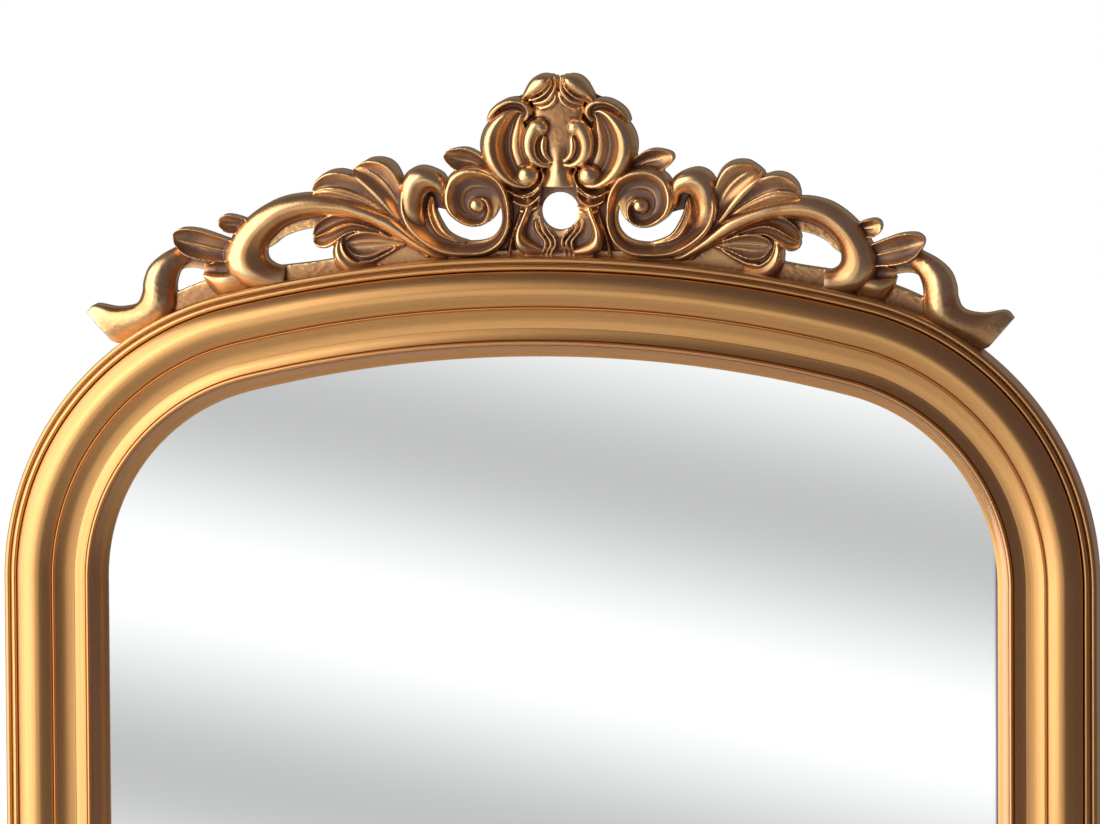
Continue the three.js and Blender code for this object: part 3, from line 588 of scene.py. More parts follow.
def volute():
    scroll = stroke(
        lip, [23.5, 23, 22.5, 22, 22, 22, 22, 22, 22, 21.5, 21, 20, 18.5],
        [11, 11, 11.5, 12, 12, 12, 13, 14, 14, 13.5, 13, 13, 14],
        [(112.5, 47), (113, 34), (107, 21), (95.5, 10), (81, 2.5), (66, 0.8), (50, 2.3), (39, 9.5),
         (33.8, 20.5), (32.8, 31), (34.3, 45), (41, 57), (52.5, 63), (65.5, 63.5), (76, 57),
         (80.3, 44.5), (78, 32.5), (69, 24.2), (59, 21.5), (50.3, 24.2), (46.8, 33), (49.5, 41),
         (55, 43.5)],
        [(99, 45), (98.5, 35.5), (94.5, 26.5), (86, 18.5), (76.5, 13.5), (66, 11.5), (54, 12),
         (45.8, 15.5), (41, 22), (40, 30), (42.5, 40), (46.5, 46), (52.5, 48.5), (59.5, 48.5), (65, 45),
         (67, 38.5), (64.8, 32.5), (60.5, 29), (57, 28), (53.8, 29), (52.3, 33.2), (53.2, 36.8),
         (57, 38.5)], finer=2, tip=0.95)
    hood = stroke(
        horn(0.44), [16, 19, 23, 25, 26, 26, 25.5, 24, 21.5, 15],
        [12, 13, 14.5, 15, 15, 15, 14.5, 13.5, 12, 9],
        [(77, 38), (77, 49), (80, 57), (87, 61.5), (96, 63.5), (105, 61), (111, 54.5), (113.3, 45),
         (112, 33), (106, 21)],
        [(81, 34), (82.5, 40), (83.5, 43.5), (86, 45.5), (89.5, 45.5), (92.3, 43), (94, 39), (94.5, 34),
         (94, 28), (92, 22)], finer=2, root=0.1)
    petal = stroke(
        petals, [11, 14.5, 17, 17.5, 16.5, 14], [8, 9, 10.5, 12, 12, 12],
        [(92.5, 45), (95, 35), (93.5, 25), (88, 16), (79, 11.5), (67, 9.5)],
        [(86, 41), (85.5, 32.5), (82, 24.5), (77.5, 18), (71, 14), (64, 11.8)], finer=2, root=0.25)
    hood_ground = ground(
        GROUND - 7,
        [(102, 50), (92, 50), (78, 52)],
        [(98, 32), (88, 34), (76.5, 31.5)])
    back_leaf = stroke(
        spoon(0.5), [14, 17, 19, 20, 18], [11, 11, 11, 12, 16],
        [(37, 50), (44, 60), (50, 67), (57, 73), (66.5, 77), (77, 77.5)],
        [(42, 47), (48, 54), (55, 58), (63, 60), (72.5, 60.5), (82, 66)], finer=2, tip=0.66)
    well = pin(58.5, 38.8, 17, CREST_BACK, 12.8, sides=64)
    return [scroll, hood, petal, hood_ground, back_leaf, well, dome(56.8, 36.8, 5.7, 5.6, 21.5)]


def cartouche():
    scroll_rim = stroke(
        horn(0.5), [18, 20, 21.5, 22, 22, 21.5, 20, 17], [14, 15, 16, 16, 16, 15.5, 15, 14.5],
        [(22, 94), (18, 100.5), (20, 107), (26.5, 110.7), (34, 110.8), (41.5, 107.5), (47.3, 102.3),
         (50.8, 96)],
        [(25.5, 95.5), (22.8, 100.5), (24, 104.5), (27.8, 106.4), (33.5, 106.2), (39.3, 103.4),
         (44, 99), (48, 93.5)],
        finer=2, root=0.08, tip=0.8)
    side_scroll = stroke(
        finger, [19, 22.5, 24.5, 25.5, 26, 26, 25.5, 24.5, 23, 21, 18],
        [14, 13, 12, 11.5, 11, 11, 11, 11.5, 12, 13, 13],
        [(24, 102.5), (30.5, 104.5), (38.5, 102.5), (46, 97), (51.7, 89.5), (54.3, 80.5), (53.2, 70.5),
         (48, 60.5), (39.5, 52.5), (29.5, 48.3), (20, 48.8), (14.5, 54)],
        [(24, 98.5), (25, 96), (23.8, 91.5), (22.5, 86.5), (22, 80.5), (21, 74), (19, 68), (17.5, 63.5),
         (17, 60.5), (16.5, 58.5), (16, 57.5), (15.5, 57)], finer=2, root=0.1)
    broad_rib = stroke(
        round_back, [18, 22, 23, 23, 22.5, 21.5, 20, 18.5], [13, 15, 16, 16, 16, 15.5, 15, 15],
        [(6.5, 92), (10, 97), (17, 96.5), (22.3, 90.5), (24.8, 82), (24, 73), (19.5, 66), (11, 62.5),
         (4, 63)],
        [(8, 88.5), (10, 86), (12.3, 84.5), (14, 81.5), (15, 77), (14, 72), (11.5, 68.5), (8, 66.5),
         (4, 67)], finer=2, root=0.1)
    inner_rib = stroke(
        round_back, [18, 19.5, 20, 19.5, 17.5], [14, 15, 15, 15, 15],
        [(11.8, 85.5), (13.2, 79.5), (12.6, 74), (10, 69.3), (5, 65.5)],
        [(7, 84.5), (7.4, 79), (7.1, 74), (5.4, 70.5), (2.5, 68)], root=0.2)
    ball_rim = stroke(
        ridge, [17, 19, 19.5, 19.5, 19, 18.5, 17.5, 15], 11,
        [(46, 57.5), (39.5, 48.3), (30.5, 42.8), (22.5, 42.3), (14.8, 46), (10, 52), (8.7, 58), (11, 63)],
        [(41.5, 58.5), (36.5, 51), (29.8, 46.3), (23.5, 45.9), (17.8, 49), (13.8, 53.5), (12.5, 57.5),
         (14, 61)])
    top_lobe = stroke(
        round_back, [20, 24.5, 25.5, 25, 23.5, 21, 17], [15, 16, 16, 16, 15, 14, 13],
        [(3.5, 125.6), (7, 127.2), (11.5, 127.3), (16, 125.6), (20, 121.8), (23, 116.5), (26, 110.5)],
        [(5, 124), (5.8, 120.5), (8, 117.3), (11, 114.8), (14.5, 112.8), (18, 111.2), (22.5, 109)],
        finer=2)
    folds = [
        stroke(round_back, tops, 12, outer, inner) for tops, outer, inner in (
            ([18, 20, 20, 19, 17],
             [(5.7, 127), (5.7, 120.3), (8.6, 116.2), (13.4, 112.5), (21, 110)],
             [(3.6, 127), (3.6, 119.6), (6.8, 114.4), (12.3, 110.3), (20, 107.8)]),
            ([17, 18.5, 18.5, 18, 16],
             [(3.7, 126), (3.6, 119), (6.2, 114), (10.7, 110), (18, 108)],
             [(0.8, 126), (0.6, 117.5), (3, 112), (8, 107.2), (17, 105.3)]),
            ([16, 16.8, 16.5, 15],
             [(2.3, 116.5), (3.8, 110.8), (8, 106.8), (14.5, 105.2)],
             [(-0.8, 115), (0.8, 108), (6, 103.4), (13, 101.5)]))]
    shield = stroke(
        round_back, [14, 14.3, 15, 15.5, 15], 13,
        [(9, 124), (17, 111), (16, 95), (11, 78), (6, 62)],
        [(-9, 124), (-17, 111), (-16, 95), (-11, 78), (-6, 62)], finer=2, rough=STIPPLE)
    collar = stroke(
        horn(0.5), [14.2, 14.8, 15.8, 17.6, 19.8, 20.3, 19.5], [12, 12.5, 13, 13, 13, 13, 13],
        [(9, 93), (9, 85), (9, 77), (8.4, 69.5), (8.4, 62.5), (9.3, 57), (11.5, 49.5)],
        [(-9, 93), (-9, 85), (-9, 77), (-8.4, 69.5), (-8.4, 62.5), (-9.3, 57), (-11.5, 49.5)],
        finer=2)
    rib_ground = ground(
        15.5, [(15, 90), (17, 80), (15, 71), (8, 65)], [(9, 88), (10, 80), (9, 72), (5, 67)])
    knob = dome(12, 90.8, 5.6, 5.6, 23)
    scroll_back = ground(
        15.5,
        [(22, 106), (30, 108.5), (41, 105), (48.5, 97)],
        [(24, 99), (31, 101), (38, 99), (45, 94)])
    side = [
        (54, -6), (46, 6), (40, 16), (38, 30), (38, 50), (42, 66), (46, 82), (46, 98), (38, 108),
        (27, 112), (12, 121)]
    middle_ground = ground(GROUND - 5, side, [(-4, z) for _, z in side])
    ball = dome(21.5, 57.4, 8.2, 8.2, 24)
    scrolls = [scroll_rim, scroll_back, side_scroll, ball_rim, ball]
    ribs = [broad_rib, rib_ground, knob, inner_rib]
    return scrolls + folds + ribs + [top_lobe, shield, collar, middle_ground]


def legs():
    collar_folds = [
        stroke(fold, top, 11, outer, inner) for top, outer, inner in (
            (20,
             [(33, 49), (24, 46.5), (16, 48.5), (12, 53)],
             [(31, 43.5), (24, 41.3), (18, 43), (12.5, 48)]),
            (19,
             [(33, 44.5), (25.5, 42), (18, 43.5), (12, 49.5)],
             [(31, 38.5), (26, 35.8), (20, 35.5), (13, 41.5)]),
            (17,
             [(28.5, 38), (21, 36.5), (13.5, 41)],
             [(26.5, 31), (21, 31.5), (14.5, 34)]))]
    leg = stroke(
        horn(0.42), [15, 18.5, 20.5, 22, 22.5, 22, 20, 17.5], [11, 12, 12, 12, 12.5, 13, 13, 13],
        [(24, 41), (24.6, 34), (27.2, 26.5), (30, 19.5), (31, 13), (29.5, 7), (23, 3), (12, 2.5)],
        [(14.5, 41), (17.5, 34), (20.5, 27.5), (22.6, 21.5), (22.6, 16.5), (19.8, 12.5), (15.8, 10),
         (12, 8)], finer=2)
    leg_rim = stroke(
        ridge, [13, 14.5, 14.5, 13], 10,
        [(27.5, 33), (30.5, 25), (33.3, 17.5), (35.5, 9.5), (39.5, -3)],
        [(25.5, 32.5), (28, 24.5), (30.8, 17.3), (32.3, 9.5), (32.5, -3)])
    flute_rise = [14, 17, 18.5, 18.5, 17.5, 16]
    flutes = [
        stroke(horn(0.55), flute_rise, 12.5, outer, inner, root=0.15) for outer, inner in (
            ([(18.5, 27), (17.3, 21), (14, 16.3), (11.2, 12.8), (11.2, 9), (12.5, 5), (13, 2)],
             [(14.8, 26.5), (13.8, 20.3), (10.4, 15.6), (7.8, 12.2), (7.8, 8.8), (9.2, 5), (10, 2)]),
            ([(14.6, 26), (12.9, 20), (9.2, 15.4), (7.2, 12), (7.4, 9), (9, 6), (9.8, 2)],
             [(11.4, 25.3), (9.6, 19.2), (5.9, 14.5), (4, 11.6), (4.4, 8.3), (6.2, 5), (7, 2)]),
            ([(11, 25), (8.4, 19.4), (5, 15.6), (3.7, 12), (4.1, 9), (6, 6.4), (6.8, 2)],
             [(8.6, 23.4), (5.4, 18.2), (2.2, 15.2), (1, 11.8), (1.3, 8.2), (3, 5), (4, 2)]))]
    apron = ground(
        GROUND + 1,
        [(19, 36), (21.5, 28), (24, 20), (22, 12), (18, 6), (16, -2)],
        [(-1, 36), (-1, 28), (-1, 20), (-1, 12), (-1, 6), (-1, -2)], FAINT_STIPPLE)
    ledge = stroke(round_back, 16, 12, [(24, 5.5), (12, 5.8), (-2, 5.8)], [(24, -4), (12, -3), (-2, -3)])
    return collar_folds + [leg, leg_rim, apron, ledge] + flutes


def hollows(piece, reach):
    """How many millimetres each point lies under the surface smoothed as many times as the reach."""
    soft = piece.copy()
    soft.data = piece.data.copy()
    SCENE.collection.objects.link(soft)
    use_modifier(soft, "SMOOTH", factor=0.5, iterations=reach)
    normals = np.empty(len(piece.data.vertices) * 3)
    piece.data.vertex_normals.foreach_get("vector", normals)
    depth = ((points_of(soft) - points_of(piece)) * normals.reshape(-1, 3)).sum(1) / MM
    bpy.data.objects.remove(soft)
    return depth


def make_crest(gold, bare_back):
    strokes = rail() + tail() + loop() + acanthus() + volute() + cartouche() + legs()
    crest = name_it(join(strokes), "carved_crest")
    use_modifier(crest, "MIRROR", use_mirror_merge=False)
    x, y, z = points_of(crest).T / MM
    out = np.abs(x)
    drift = CREST_DRIFT + (TAIL_DRIFT - CREST_DRIFT) * ease(out, *DRIFT_FADES)
    spray = ease(out, *SPRAY_BEGINS) * (1 - ease(out, *SPRAY_ENDS))
    across = x + drift - SPRAY_PULL * np.sign(x) * spray
    up = z - CREST_SINK - SPRAY_SINK * spray + APEX_Z
    set_points(crest, np.column_stack((across, y, up)) * MM)
    use_modifier(crest, "REMESH", mode="VOXEL", voxel_size=VOXEL * MM)
    cut(crest, plate(edge_line(SEAT), *CREST_CUTTER, "arch"))
    cut(crest, pin(CREST_DRIFT, EYE_Z - CREST_SINK + APEX_Z, EYE_RADIUS, *CREST_CUTTER, sides=48))
    use_modifier(crest, "SMOOTH", factor=0.5, iterations=CREST_SOFTENING)
    triangles = sum(len(face.vertices) - 2 for face in crest.data.polygons)
    use_modifier(crest, "DECIMATE", ratio=min(1, CREST_TRIANGLES / triangles))
    paint(crest, "hollow", hollows(crest, GROOVE_REACH))
    paint(crest, "deep", hollows(crest, WELL_REACH))
    across, _, up = points_of(crest).T / MM
    paint(crest, "root", up - APEX_Z - np.array([arch_z(abs(x)) for x in across]))
    pick(crest)
    bpy.ops.object.shade_smooth()
    finish(crest, "crest", "antique_gold", gold, bare_back)
    bare_behind(crest)


# Back of the mirror: board, hanger plates and screws

HANGER_WIDTH = 20
HANGER_HEIGHT = 52
HANGER_BACK = 0.3
HANGER_FRONT = 2.3
HANGER_CUTTER = (-1, 4)
HANGER_GAP = 0.3
HANGER_CORNER = 4
HANGER_X = 355
HANGER_Z = SPRING_Z - 28
HANGERS = [(-HANGER_X, HANGER_Z), (HANGER_X, HANGER_Z)]
POCKET_WIDTH = 13
POCKET_HEIGHT = 30
POCKET_DEPTH = 12
KEYHOLE_REACH = 7
KEYHOLE_ENTRY = 5
KEYHOLE_SLOT = 2.7
HANGER_BORE = 3.2
HANGER_SCREW_OFFSET = 20.5
HANGER_SCREW = {"back": 0.4, "head": 2.9, "shank": 1.6, "cone": 1.6, "length": 15}
BOARD_BACK = 1.0
BOARD_FRONT = 5.4
BOARD_CUTTER = (0, 6)
BOARD_BORE = 3.7
BOARD_SCREW_INSET = 55.5
HEAD_SCREW_TURN = 0.2
SIDE_SCREW_HEIGHTS = (-397, -712)
BOARD_SCREW = {"back": 1.1, "head": 3.4, "shank": 1.7, "cone": 2, "length": 13}
SCREW_OVERLAP = 0.05
SCREW_POINT = 0.2
RECESS_LENGTH = 1.1
RECESS_WIDTH = 0.26
RECESS_DEPTH = 0.6
BOARD_BEVEL = 0.4
HANGER_BEVEL = 0.3
SCREW_BEVEL = 0.12


def round_edges(piece, width):
    use_modifier(piece, "BEVEL", width=width * MM, segments=2, limit_method="ANGLE")
    smooth(piece)


def make_board(fibreboard):
    board = plate(edge_line(BACK_BAND + EDGE_PLAY), BOARD_BACK, BOARD_FRONT, "back_board")
    for x, z in board_screw_places():
        cut(board, pin(x, z, BOARD_BORE, *BOARD_CUTTER))
    round_edges(board, BOARD_BEVEL)
    finish(board, "backing_board", "fibreboard", fibreboard)


def board_screw_places():
    crown = CROWN_RADIUS - BOARD_SCREW_INSET
    turns = (-HEAD_SCREW_TURN, 0, HEAD_SCREW_TURN)
    head = [(crown * math.sin(turn), CROWN_Z + crown * math.cos(turn)) for turn in turns]
    side_x = HALF_WIDTH - BOARD_SCREW_INSET
    sides = [(side * side_x, z) for z in SIDE_SCREW_HEIGHTS for side in (-1, 1)]
    return head + sides + [(0, BOTTOM_Z + BOARD_SCREW_INSET)]


def make_hanger(name, place, zinc):
    x, z = place
    hanger = name_it(block(x, z, HANGER_WIDTH, HANGER_HEIGHT, HANGER_BACK, HANGER_FRONT), name + "_plate")
    bpy.ops.object.mode_set(mode="EDIT")
    bpy.ops.mesh.select_mode(type="EDGE")
    bpy.ops.mesh.select_all(action="DESELECT")
    bpy.ops.object.mode_set(mode="OBJECT")
    for edge in hanger.data.edges:
        a, b = [hanger.data.vertices[i].co for i in edge.vertices]
        edge.select = abs(a.y - b.y) > MM
    bpy.ops.object.mode_set(mode="EDIT")
    bpy.ops.mesh.bevel(offset=HANGER_CORNER * MM, segments=8, affect="EDGES")
    bpy.ops.object.mode_set(mode="OBJECT")
    cut(hanger, pin(x, z - KEYHOLE_REACH, KEYHOLE_ENTRY, *HANGER_CUTTER, sides=40))
    cut(hanger, block(x, z, 2 * KEYHOLE_SLOT, 2 * KEYHOLE_REACH, *HANGER_CUTTER))
    cut(hanger, pin(x, z + KEYHOLE_REACH, KEYHOLE_SLOT, *HANGER_CUTTER, sides=28))
    for end in (1, -1):
        cut(hanger, pin(x, z + end * HANGER_SCREW_OFFSET, HANGER_BORE, *HANGER_CUTTER))
    round_edges(hanger, HANGER_BEVEL)
    finish(hanger, name, "zinc_steel", zinc)


def make_screw(name, place, zinc, back, head, shank, cone, length):
    """A countersunk screw with a cross recess, driven in from the back."""
    x, z = place
    point_back = back + length - shank
    screw = name_it(pin(x, z, head, back, back + cone, tip=shank), name + "_driven")
    body = pin(x, z, shank, back + cone - SCREW_OVERLAP, point_back, sides=24)
    point = pin(x, z, shank, point_back - SCREW_OVERLAP, back + length, sides=24, tip=SCREW_POINT)
    for part in (body, point):
        use_modifier(screw, "BOOLEAN", operation="UNION", object=part, solver="MANIFOLD")
        bpy.data.objects.remove(part)
    recess = head * RECESS_LENGTH, head * RECESS_WIDTH
    for width, height in (recess, recess[::-1]):
        cut(screw, block(x, z, width, height, back - OVERCUT, back + cone * RECESS_DEPTH))
    round_edges(screw, SCREW_BEVEL)
    finish(screw, name, "zinc_steel", zinc)


def make_hardware(zinc):
    for side, place in zip(("left", "right"), HANGERS):
        make_hanger("hanger_plate_" + side, place, zinc)
    places = [(x, z + end * HANGER_SCREW_OFFSET) for x, z in HANGERS for end in (1, -1)]
    for number, place in enumerate(places, 1):
        make_screw(f"hanger_screw_{number}", place, zinc, **HANGER_SCREW)
    for number, place in enumerate(board_screw_places(), 1):
        make_screw(f"backing_screw_{number}", place, zinc, **BOARD_SCREW)


# Finishes

def new_material(name, color, roughness, metallic=0.0):
    material = bpy.data.materials.new(name)
    material.use_nodes = True
    shader = material.node_tree.nodes["Principled BSDF"]
    shader.inputs["Base Color"].default_value = (*color, 1)
    shader.inputs["Roughness"].default_value = roughness
    shader.inputs["Metallic"].default_value = metallic
    return material, shader


class Nodes:
    """Adds nodes to a material and links them, with plain numbers set on the sockets."""

    def __init__(self, tree):
        self.tree = tree

    def add(self, kind, output=0, settings=(), **inputs):
        node = self.tree.nodes.new(kind)
        for setting, value in dict(settings).items():
            setattr(node, setting, value)
        for name, value in inputs.items():
            key = int(name[1:]) if name[1:].isdigit() else name.replace("_", " ")
            self.feed(value, node.inputs[key])
        return node.outputs[output]

    def feed(self, value, socket):
        if isinstance(value, bpy.types.NodeSocket):
            self.tree.links.new(value, socket)
        else:
            socket.default_value = value

    def math(self, operation, a, b=0.0, c=0.0):
        return self.add("ShaderNodeMath", settings={"operation": operation}, i0=a, i1=b, i2=c)

    def span(self, value, low, high, start=0.0, end=1.0):
        return self.add(
            "ShaderNodeMapRange", Value=value, From_Min=low, From_Max=high, To_Min=start, To_Max=end)

    def mix(self, factor, a, b):
        return self.add("ShaderNodeMix", output=2, settings={"data_type": "RGBA"}, i0=factor, i6=a, i7=b)

    def attribute(self, name, output="Fac"):
        return self.add("ShaderNodeAttribute", output=output, settings={"attribute_name": name})

    def place(self):
        return self.add("ShaderNodeTexCoord", output="Object")

    def y_of(self, vector):
        return self.add("ShaderNodeSeparateXYZ", output="Y", Vector=vector)

    def noise(self, vector, scale, detail=3.0):
        return self.add("ShaderNodeTexNoise", output="Fac", Vector=vector, Scale=scale, Detail=detail)

    def bump(self, height, strength, distance):
        return self.add("ShaderNodeBump", Height=height, Strength=strength, Distance=distance * MM)


LACQUER = 0.5
LACQUER_ROUGHNESS = 0.22
LEAF = (0.85, 0.455, 0.165, 1)
DEEP_LEAF = (0.68, 0.335, 0.13, 1)
# Bright gold of rubbed ridges: partly wear, partly a painted highlight
RUBBED_LEAF_AND_HIGHLIGHT = (1.0, 0.70, 0.34, 1)
# Dark brown glaze, which also stands in for painted shade in hollows, grooves and low grounds
GLAZE_AND_SHADE = (0.125, 0.064, 0.055, 1)
MOULDING_LEAF = (0.85, 0.46, 0.145, 1)
DEEP_MOULDING_LEAF = (0.68, 0.335, 0.115, 1)
# Bright gold of the moulding's rubbed ridges: partly wear, partly a painted highlight
RUBBED_MOULDING_LEAF_AND_HIGHLIGHT = (0.98, 0.64, 0.27, 1)
LEAF_ROUGHNESS = 0.34
MOST_GLAZE_AND_SHADE = 0.85

# Glaze with painted shade, and wear with painted highlight, on the gold: the depths between which
# they change, and how much there is at each. "hollow" and "deep" are millimetres under the smoothed
# surface, "root" is the height over the arch in millimetres, and the ground's glaze and painted shade
# go by Y in metres.
CREST_WEAR_AND_HIGHLIGHT = (-0.08, -0.35, 0, 0.8)
GROOVE_GLAZE_AND_SHADE = (0.06, 0.5, 0, 0.8)
WELL_GLAZE_AND_SHADE = (0.1, 1.6, 0, 0.6)
GROUND_GLAZE_AND_SHADE = (-11.3 * MM, -8 * MM, 0, 0.75)
ROOT_GLAZE_AND_SHADE = (0, 12, 0.5, 0)
MOULDING_WEAR_AND_HIGHLIGHT = (-0.1, -0.6, 0, 0.5)
MOULDING_GLAZE_AND_SHADE = (0.05, 0.45, 0, MOST_GLAZE_AND_SHADE)


def lacquer(shader):
    shader.inputs["Coat Weight"].default_value = LACQUER
    shader.inputs["Coat Roughness"].default_value = LACQUER_ROUGHNESS


def carved_gold():
    """Satin gold leaf, with brown glaze and painted shade in the hollows, the low grounds and next to the
    arch, and edges rubbed bright, partly wear and partly painted highlight.
    """
    material, shader = new_material("carved_gold", LEAF[:3], LEAF_ROUGHNESS, metallic=1.0)
    lacquer(shader)
    nodes = Nodes(material.node_tree)
    place = nodes.place()
    mottle = nodes.span(nodes.noise(place, scale=45), 0.35, 0.7)
    leaf = nodes.mix(mottle, LEAF, DEEP_LEAF)
    hollow = nodes.attribute("hollow")
    # Ridges turn bright gold: rubbed wear, and a painted highlight
    leaf = nodes.mix(nodes.span(hollow, *CREST_WEAR_AND_HIGHLIGHT), leaf, RUBBED_LEAF_AND_HIGHLIGHT)
    patchy = nodes.span(nodes.noise(place, scale=320), 0.3, 0.7, 0.7, 1.2)
    # Glaze in grooves, wide hollows, the low grounds and next to the arch: partly real glaze, partly
    # painted shade
    groove = nodes.math("MULTIPLY", nodes.span(hollow, *GROOVE_GLAZE_AND_SHADE), patchy)
    well = nodes.span(nodes.attribute("deep"), *WELL_GLAZE_AND_SHADE)
    ground_glaze_and_shade = nodes.span(nodes.y_of(place), *GROUND_GLAZE_AND_SHADE)
    root_glaze_and_shade = nodes.span(nodes.attribute("root"), *ROOT_GLAZE_AND_SHADE)
    low = nodes.math("ADD", ground_glaze_and_shade, root_glaze_and_shade)
    glaze_and_shade = nodes.math("MINIMUM", nodes.math("ADD", nodes.math("ADD", groove, well), low), MOST_GLAZE_AND_SHADE)
    polish = nodes.span(mottle, 0, 1, 0.25, 0.32)
    nodes.feed(nodes.mix(glaze_and_shade, leaf, GLAZE_AND_SHADE), shader.inputs["Base Color"])
    nodes.feed(nodes.span(glaze_and_shade, 0, MOST_GLAZE_AND_SHADE, 1, 0.5), shader.inputs["Metallic"])
    nodes.feed(nodes.math("MULTIPLY_ADD", glaze_and_shade, 0.2, polish), shader.inputs["Roughness"])
    grain = nodes.noise(place, scale=900, detail=2.0)
    nodes.feed(nodes.bump(grain, strength=0.06, distance=1), shader.inputs["Normal"])
    return material


def moulding_gold():
    """The same leaf on the moulding, drawn out in fine streaks along it, with glaze and painted shade in
    its grooves, and ridges rubbed bright, partly wear and partly painted highlight.
    """
    material, shader = new_material("moulding_gold", MOULDING_LEAF[:3], LEAF_ROUGHNESS, metallic=1.0)
    lacquer(shader)
    nodes = Nodes(material.node_tree)
    across = nodes.attribute("across", "Vector")
    drawn = nodes.add("ShaderNodeMapping", Vector=across, Scale=(1, 1, 1.5))
    broad = nodes.span(nodes.noise(drawn, scale=0.5, detail=2.0), 0.35, 0.65)
    fine = nodes.span(nodes.noise(drawn, scale=2.2), 0.3, 0.7)
    streak = nodes.math("MULTIPLY_ADD", fine, 0.45, nodes.math("MULTIPLY", broad, 0.4))
    leaf = nodes.mix(streak, MOULDING_LEAF, DEEP_MOULDING_LEAF)
    hollow = nodes.attribute("hollow")
    # Ridges turn bright gold: rubbed wear, and a painted highlight
    leaf = nodes.mix(nodes.span(hollow, *MOULDING_WEAR_AND_HIGHLIGHT), leaf, RUBBED_MOULDING_LEAF_AND_HIGHLIGHT)
    # Glaze in the grooves: partly real glaze, partly painted shade
    glaze_and_shade = nodes.span(hollow, *MOULDING_GLAZE_AND_SHADE)
    nodes.feed(nodes.mix(glaze_and_shade, leaf, GLAZE_AND_SHADE), shader.inputs["Base Color"])
    nodes.feed(nodes.span(streak, 0, 1, 0.28, 0.38), shader.inputs["Roughness"])
    nodes.feed(nodes.bump(fine, strength=0.05, distance=1), shader.inputs["Normal"])
    return material


def bare_wood():
    material, shader = new_material("bare_back", (0.30, 0.19, 0.10), roughness=0.75)
    nodes = Nodes(material.node_tree)
    grain = nodes.add("ShaderNodeMapping", Vector=nodes.place(), Scale=(60, 60, 6))
    tone = nodes.span(nodes.noise(grain, scale=4), 0.3, 0.7)
    nodes.feed(nodes.mix(tone, (0.34, 0.22, 0.12, 1), (0.21, 0.13, 0.07, 1)), shader.inputs["Base Color"])
    return material


def fibreboard():
    material, shader = new_material("fibreboard", (0.33, 0.21, 0.12), roughness=0.85)
    nodes = Nodes(material.node_tree)
    fibres = nodes.noise(nodes.place(), scale=700, detail=6.0)
    clouds = nodes.math("MULTIPLY", nodes.noise(nodes.place(), scale=14), 0.4)
    tone = nodes.math("MULTIPLY_ADD", nodes.span(fibres, 0.3, 0.7), 0.6, clouds)
    nodes.feed(nodes.mix(tone, (0.25, 0.15, 0.08, 1), (0.40, 0.27, 0.16, 1)), shader.inputs["Base Color"])
    nodes.feed(nodes.bump(fibres, strength=0.2, distance=0.5), shader.inputs["Normal"])
    return material


def zinc_plate():
    material, shader = new_material("zinc_plate", (0.62, 0.63, 0.65), roughness=0.35, metallic=1.0)
    nodes = Nodes(material.node_tree)
    spangle = nodes.noise(nodes.place(), scale=500, detail=2.0)
    nodes.feed(nodes.span(spangle, 0.3, 0.7, 0.28, 0.45), shader.inputs["Roughness"])
    zinc = nodes.mix(spangle, (0.55, 0.56, 0.58, 1), (0.70, 0.71, 0.72, 1))
    nodes.feed(zinc, shader.inputs["Base Color"])
    return material


def silvered_glass():
    material, shader = new_material("silvered_glass", (0.93, 0.94, 0.94), roughness=0.015, metallic=1.0)
    nodes = Nodes(material.node_tree)
    haze = nodes.noise(nodes.place(), scale=6, detail=2.0)
    silver = nodes.mix(haze, (0.925, 0.935, 0.935, 1), (0.935, 0.942, 0.944, 1))
    nodes.feed(silver, shader.inputs["Base Color"])
    return material


# Stage: floor, lights, background and camera

VIEW_AZIMUTH = math.radians(8)
VIEW_ELEVATION = math.radians(6)
VIEW_DISTANCE = 9.0
VIEW_ROLL = math.radians(0.35)
VIEW_WIDTH = 0.757
VIEW_TARGET = Vector((0.0022, -0.026, -0.083))
SENSOR = 36
CLIP_END = 100
FLOOR_SIZE = 5
FLOOR_GAP = 0.5
CARD_PLACE = (-0.29, -1.6, -0.62)
CARD_SIZE = (0.86, 1.26, 1)
BAND_LEAN = (-0.235, 0, -1.223)
BAND_LENGTH = 0.390
BAND_START = 0.606
BAND_SWING = 0.28
BAND_GLOW = 0.86
FRONT_STUDIO = 0.12
BACK_STUDIO = 0.22
DIM_TINT = (1.0, 0.88, 1.25, 1)
BACK_TINT = (1.0, 0.84, 0.74, 1)
WHITE = (1, 1, 1, 1)


def make_camera():
    data = bpy.data.cameras.new("camera")
    data.sensor_width = SENSOR
    data.lens = SENSOR * VIEW_DISTANCE / VIEW_WIDTH
    data.clip_end = CLIP_END
    camera = bpy.data.objects.new("camera", data)
    level = math.cos(VIEW_ELEVATION)
    outward = Vector((
        math.sin(VIEW_AZIMUTH) * level, -math.cos(VIEW_AZIMUTH) * level, math.sin(VIEW_ELEVATION)))
    camera.location = VIEW_TARGET + outward * VIEW_DISTANCE
    turn = Quaternion(outward, -VIEW_ROLL) @ outward.to_track_quat("Z", "Y")
    camera.rotation_euler = turn.to_euler()
    SCENE.collection.objects.link(camera)
    SCENE.camera = camera


def make_floor():
    bpy.ops.object.select_all(action="DESELECT")
    bpy.ops.mesh.primitive_plane_add(size=FLOOR_SIZE, location=(0, 0, (BOTTOM_Z - FLOOR_GAP) * MM))
    floor = name_it(bpy.context.object, "floor")
    floor.data.materials.append(new_material("pale_floor", (0.82, 0.82, 0.82), roughness=0.8)[0])


def make_light(name, place, aim, width, height, radiance, mirrored=True):
    data = bpy.data.lights.new(name, "AREA")
    data.shape = "RECTANGLE"
    data.size, data.size_y = width, height
    data.energy = math.pi * radiance * width * height
    light = bpy.data.objects.new(name, data)
    light.location = place
    light.visible_glossy = mirrored
    light.rotation_euler = (Vector(place) - Vector(aim)).to_track_quat("Z", "Y").to_euler()
    SCENE.collection.objects.link(light)


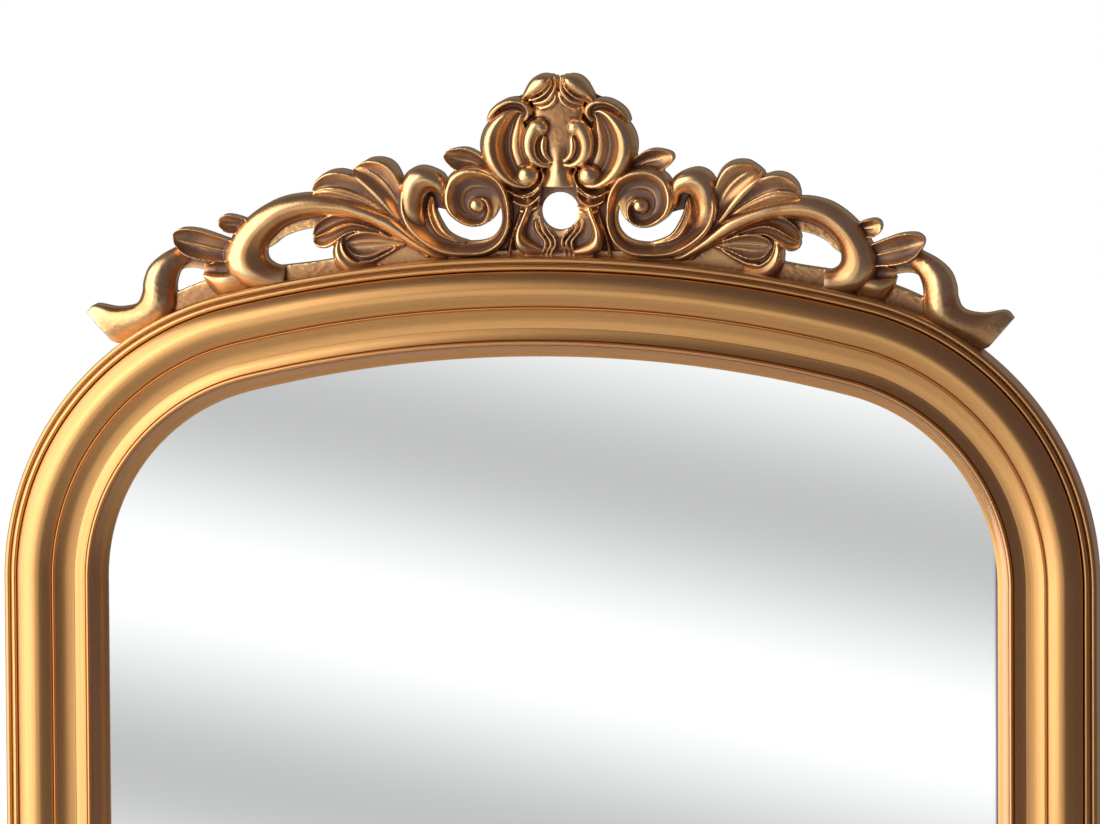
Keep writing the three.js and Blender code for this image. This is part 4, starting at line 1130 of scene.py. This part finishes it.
def make_card():
    """The pale studio that the mirror looks at: a card in soft bands of light. Only reflections see it."""
    bpy.ops.object.select_all(action="DESELECT")
    bpy.ops.mesh.primitive_plane_add(size=1, location=CARD_PLACE, rotation=(QUARTER, 0, 0))
    card = name_it(bpy.context.object, "mirror_card")
    card.scale = CARD_SIZE
    bpy.ops.object.transform_apply()
    material = bpy.data.materials.new("card_light")
    material.use_nodes = True
    nodes = Nodes(material.node_tree)
    along = nodes.add(
        "ShaderNodeVectorMath", output="Value", settings={"operation": "DOT_PRODUCT"},
        i0=nodes.place(), i1=BAND_LEAN)
    turn = nodes.math(
        "MULTIPLY_ADD", along, 2 * math.pi / BAND_LENGTH, 2 * math.pi * -BAND_START / BAND_LENGTH)
    glow = nodes.math("MULTIPLY_ADD", nodes.math("COSINE", turn), BAND_SWING, BAND_GLOW)
    light = nodes.add("ShaderNodeEmission", Strength=glow)
    nodes.feed(light, material.node_tree.nodes["Material Output"].inputs["Surface"])
    card.data.materials.append(material)
    card.visible_camera = card.visible_diffuse = card.visible_shadow = False


def make_world():
    """A dim studio, dimmer in front of the object than behind it. The camera sees it as plain white."""
    world = bpy.data.worlds.new("studio")
    world.use_nodes = True
    SCENE.world = world
    nodes = Nodes(world.node_tree)
    direction = nodes.add("ShaderNodeTexCoord", output="Generated")
    depth = nodes.y_of(direction)
    studio = nodes.span(depth, 0.25, 0.75, FRONT_STUDIO, BACK_STUDIO)
    seen = nodes.add("ShaderNodeLightPath", output="Is Camera Ray")
    strength = nodes.math("MAXIMUM", studio, seen)
    nodes.feed(strength, world.node_tree.nodes["Background"].inputs["Strength"])
    tint = nodes.mix(seen, nodes.mix(nodes.span(depth, 0, 0.5), DIM_TINT, BACK_TINT), WHITE)
    nodes.feed(tint, world.node_tree.nodes["Background"].inputs["Color"])


make_camera()
make_world()
make_floor()
make_card()
make_light(
    "left_panel", place=(-1.185, -0.525, 0.3), aim=(-0.2, 0.19, 0.2), width=1.92, height=2.1, radiance=1.88)
make_light(
    "front_fill", place=(-0.95, -1.8, 0.6), aim=(0, 0, -0.1), width=1.3, height=1.5, radiance=0.6)
make_light(
    "back_fill", place=(0.9, 1.9, 0.6), aim=(0, 0, -0.4), width=1.5, height=1.5, radiance=2.4,
    mirrored=False)
wood = bare_wood()
make_frame(moulding_gold(), wood)
make_crest(carved_gold(), wood)
make_board(fibreboard())
make_hardware(zinc_plate())
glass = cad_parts["mirror_glass"]
glass.data.materials.clear()
glass.data.materials.append(silvered_glass())
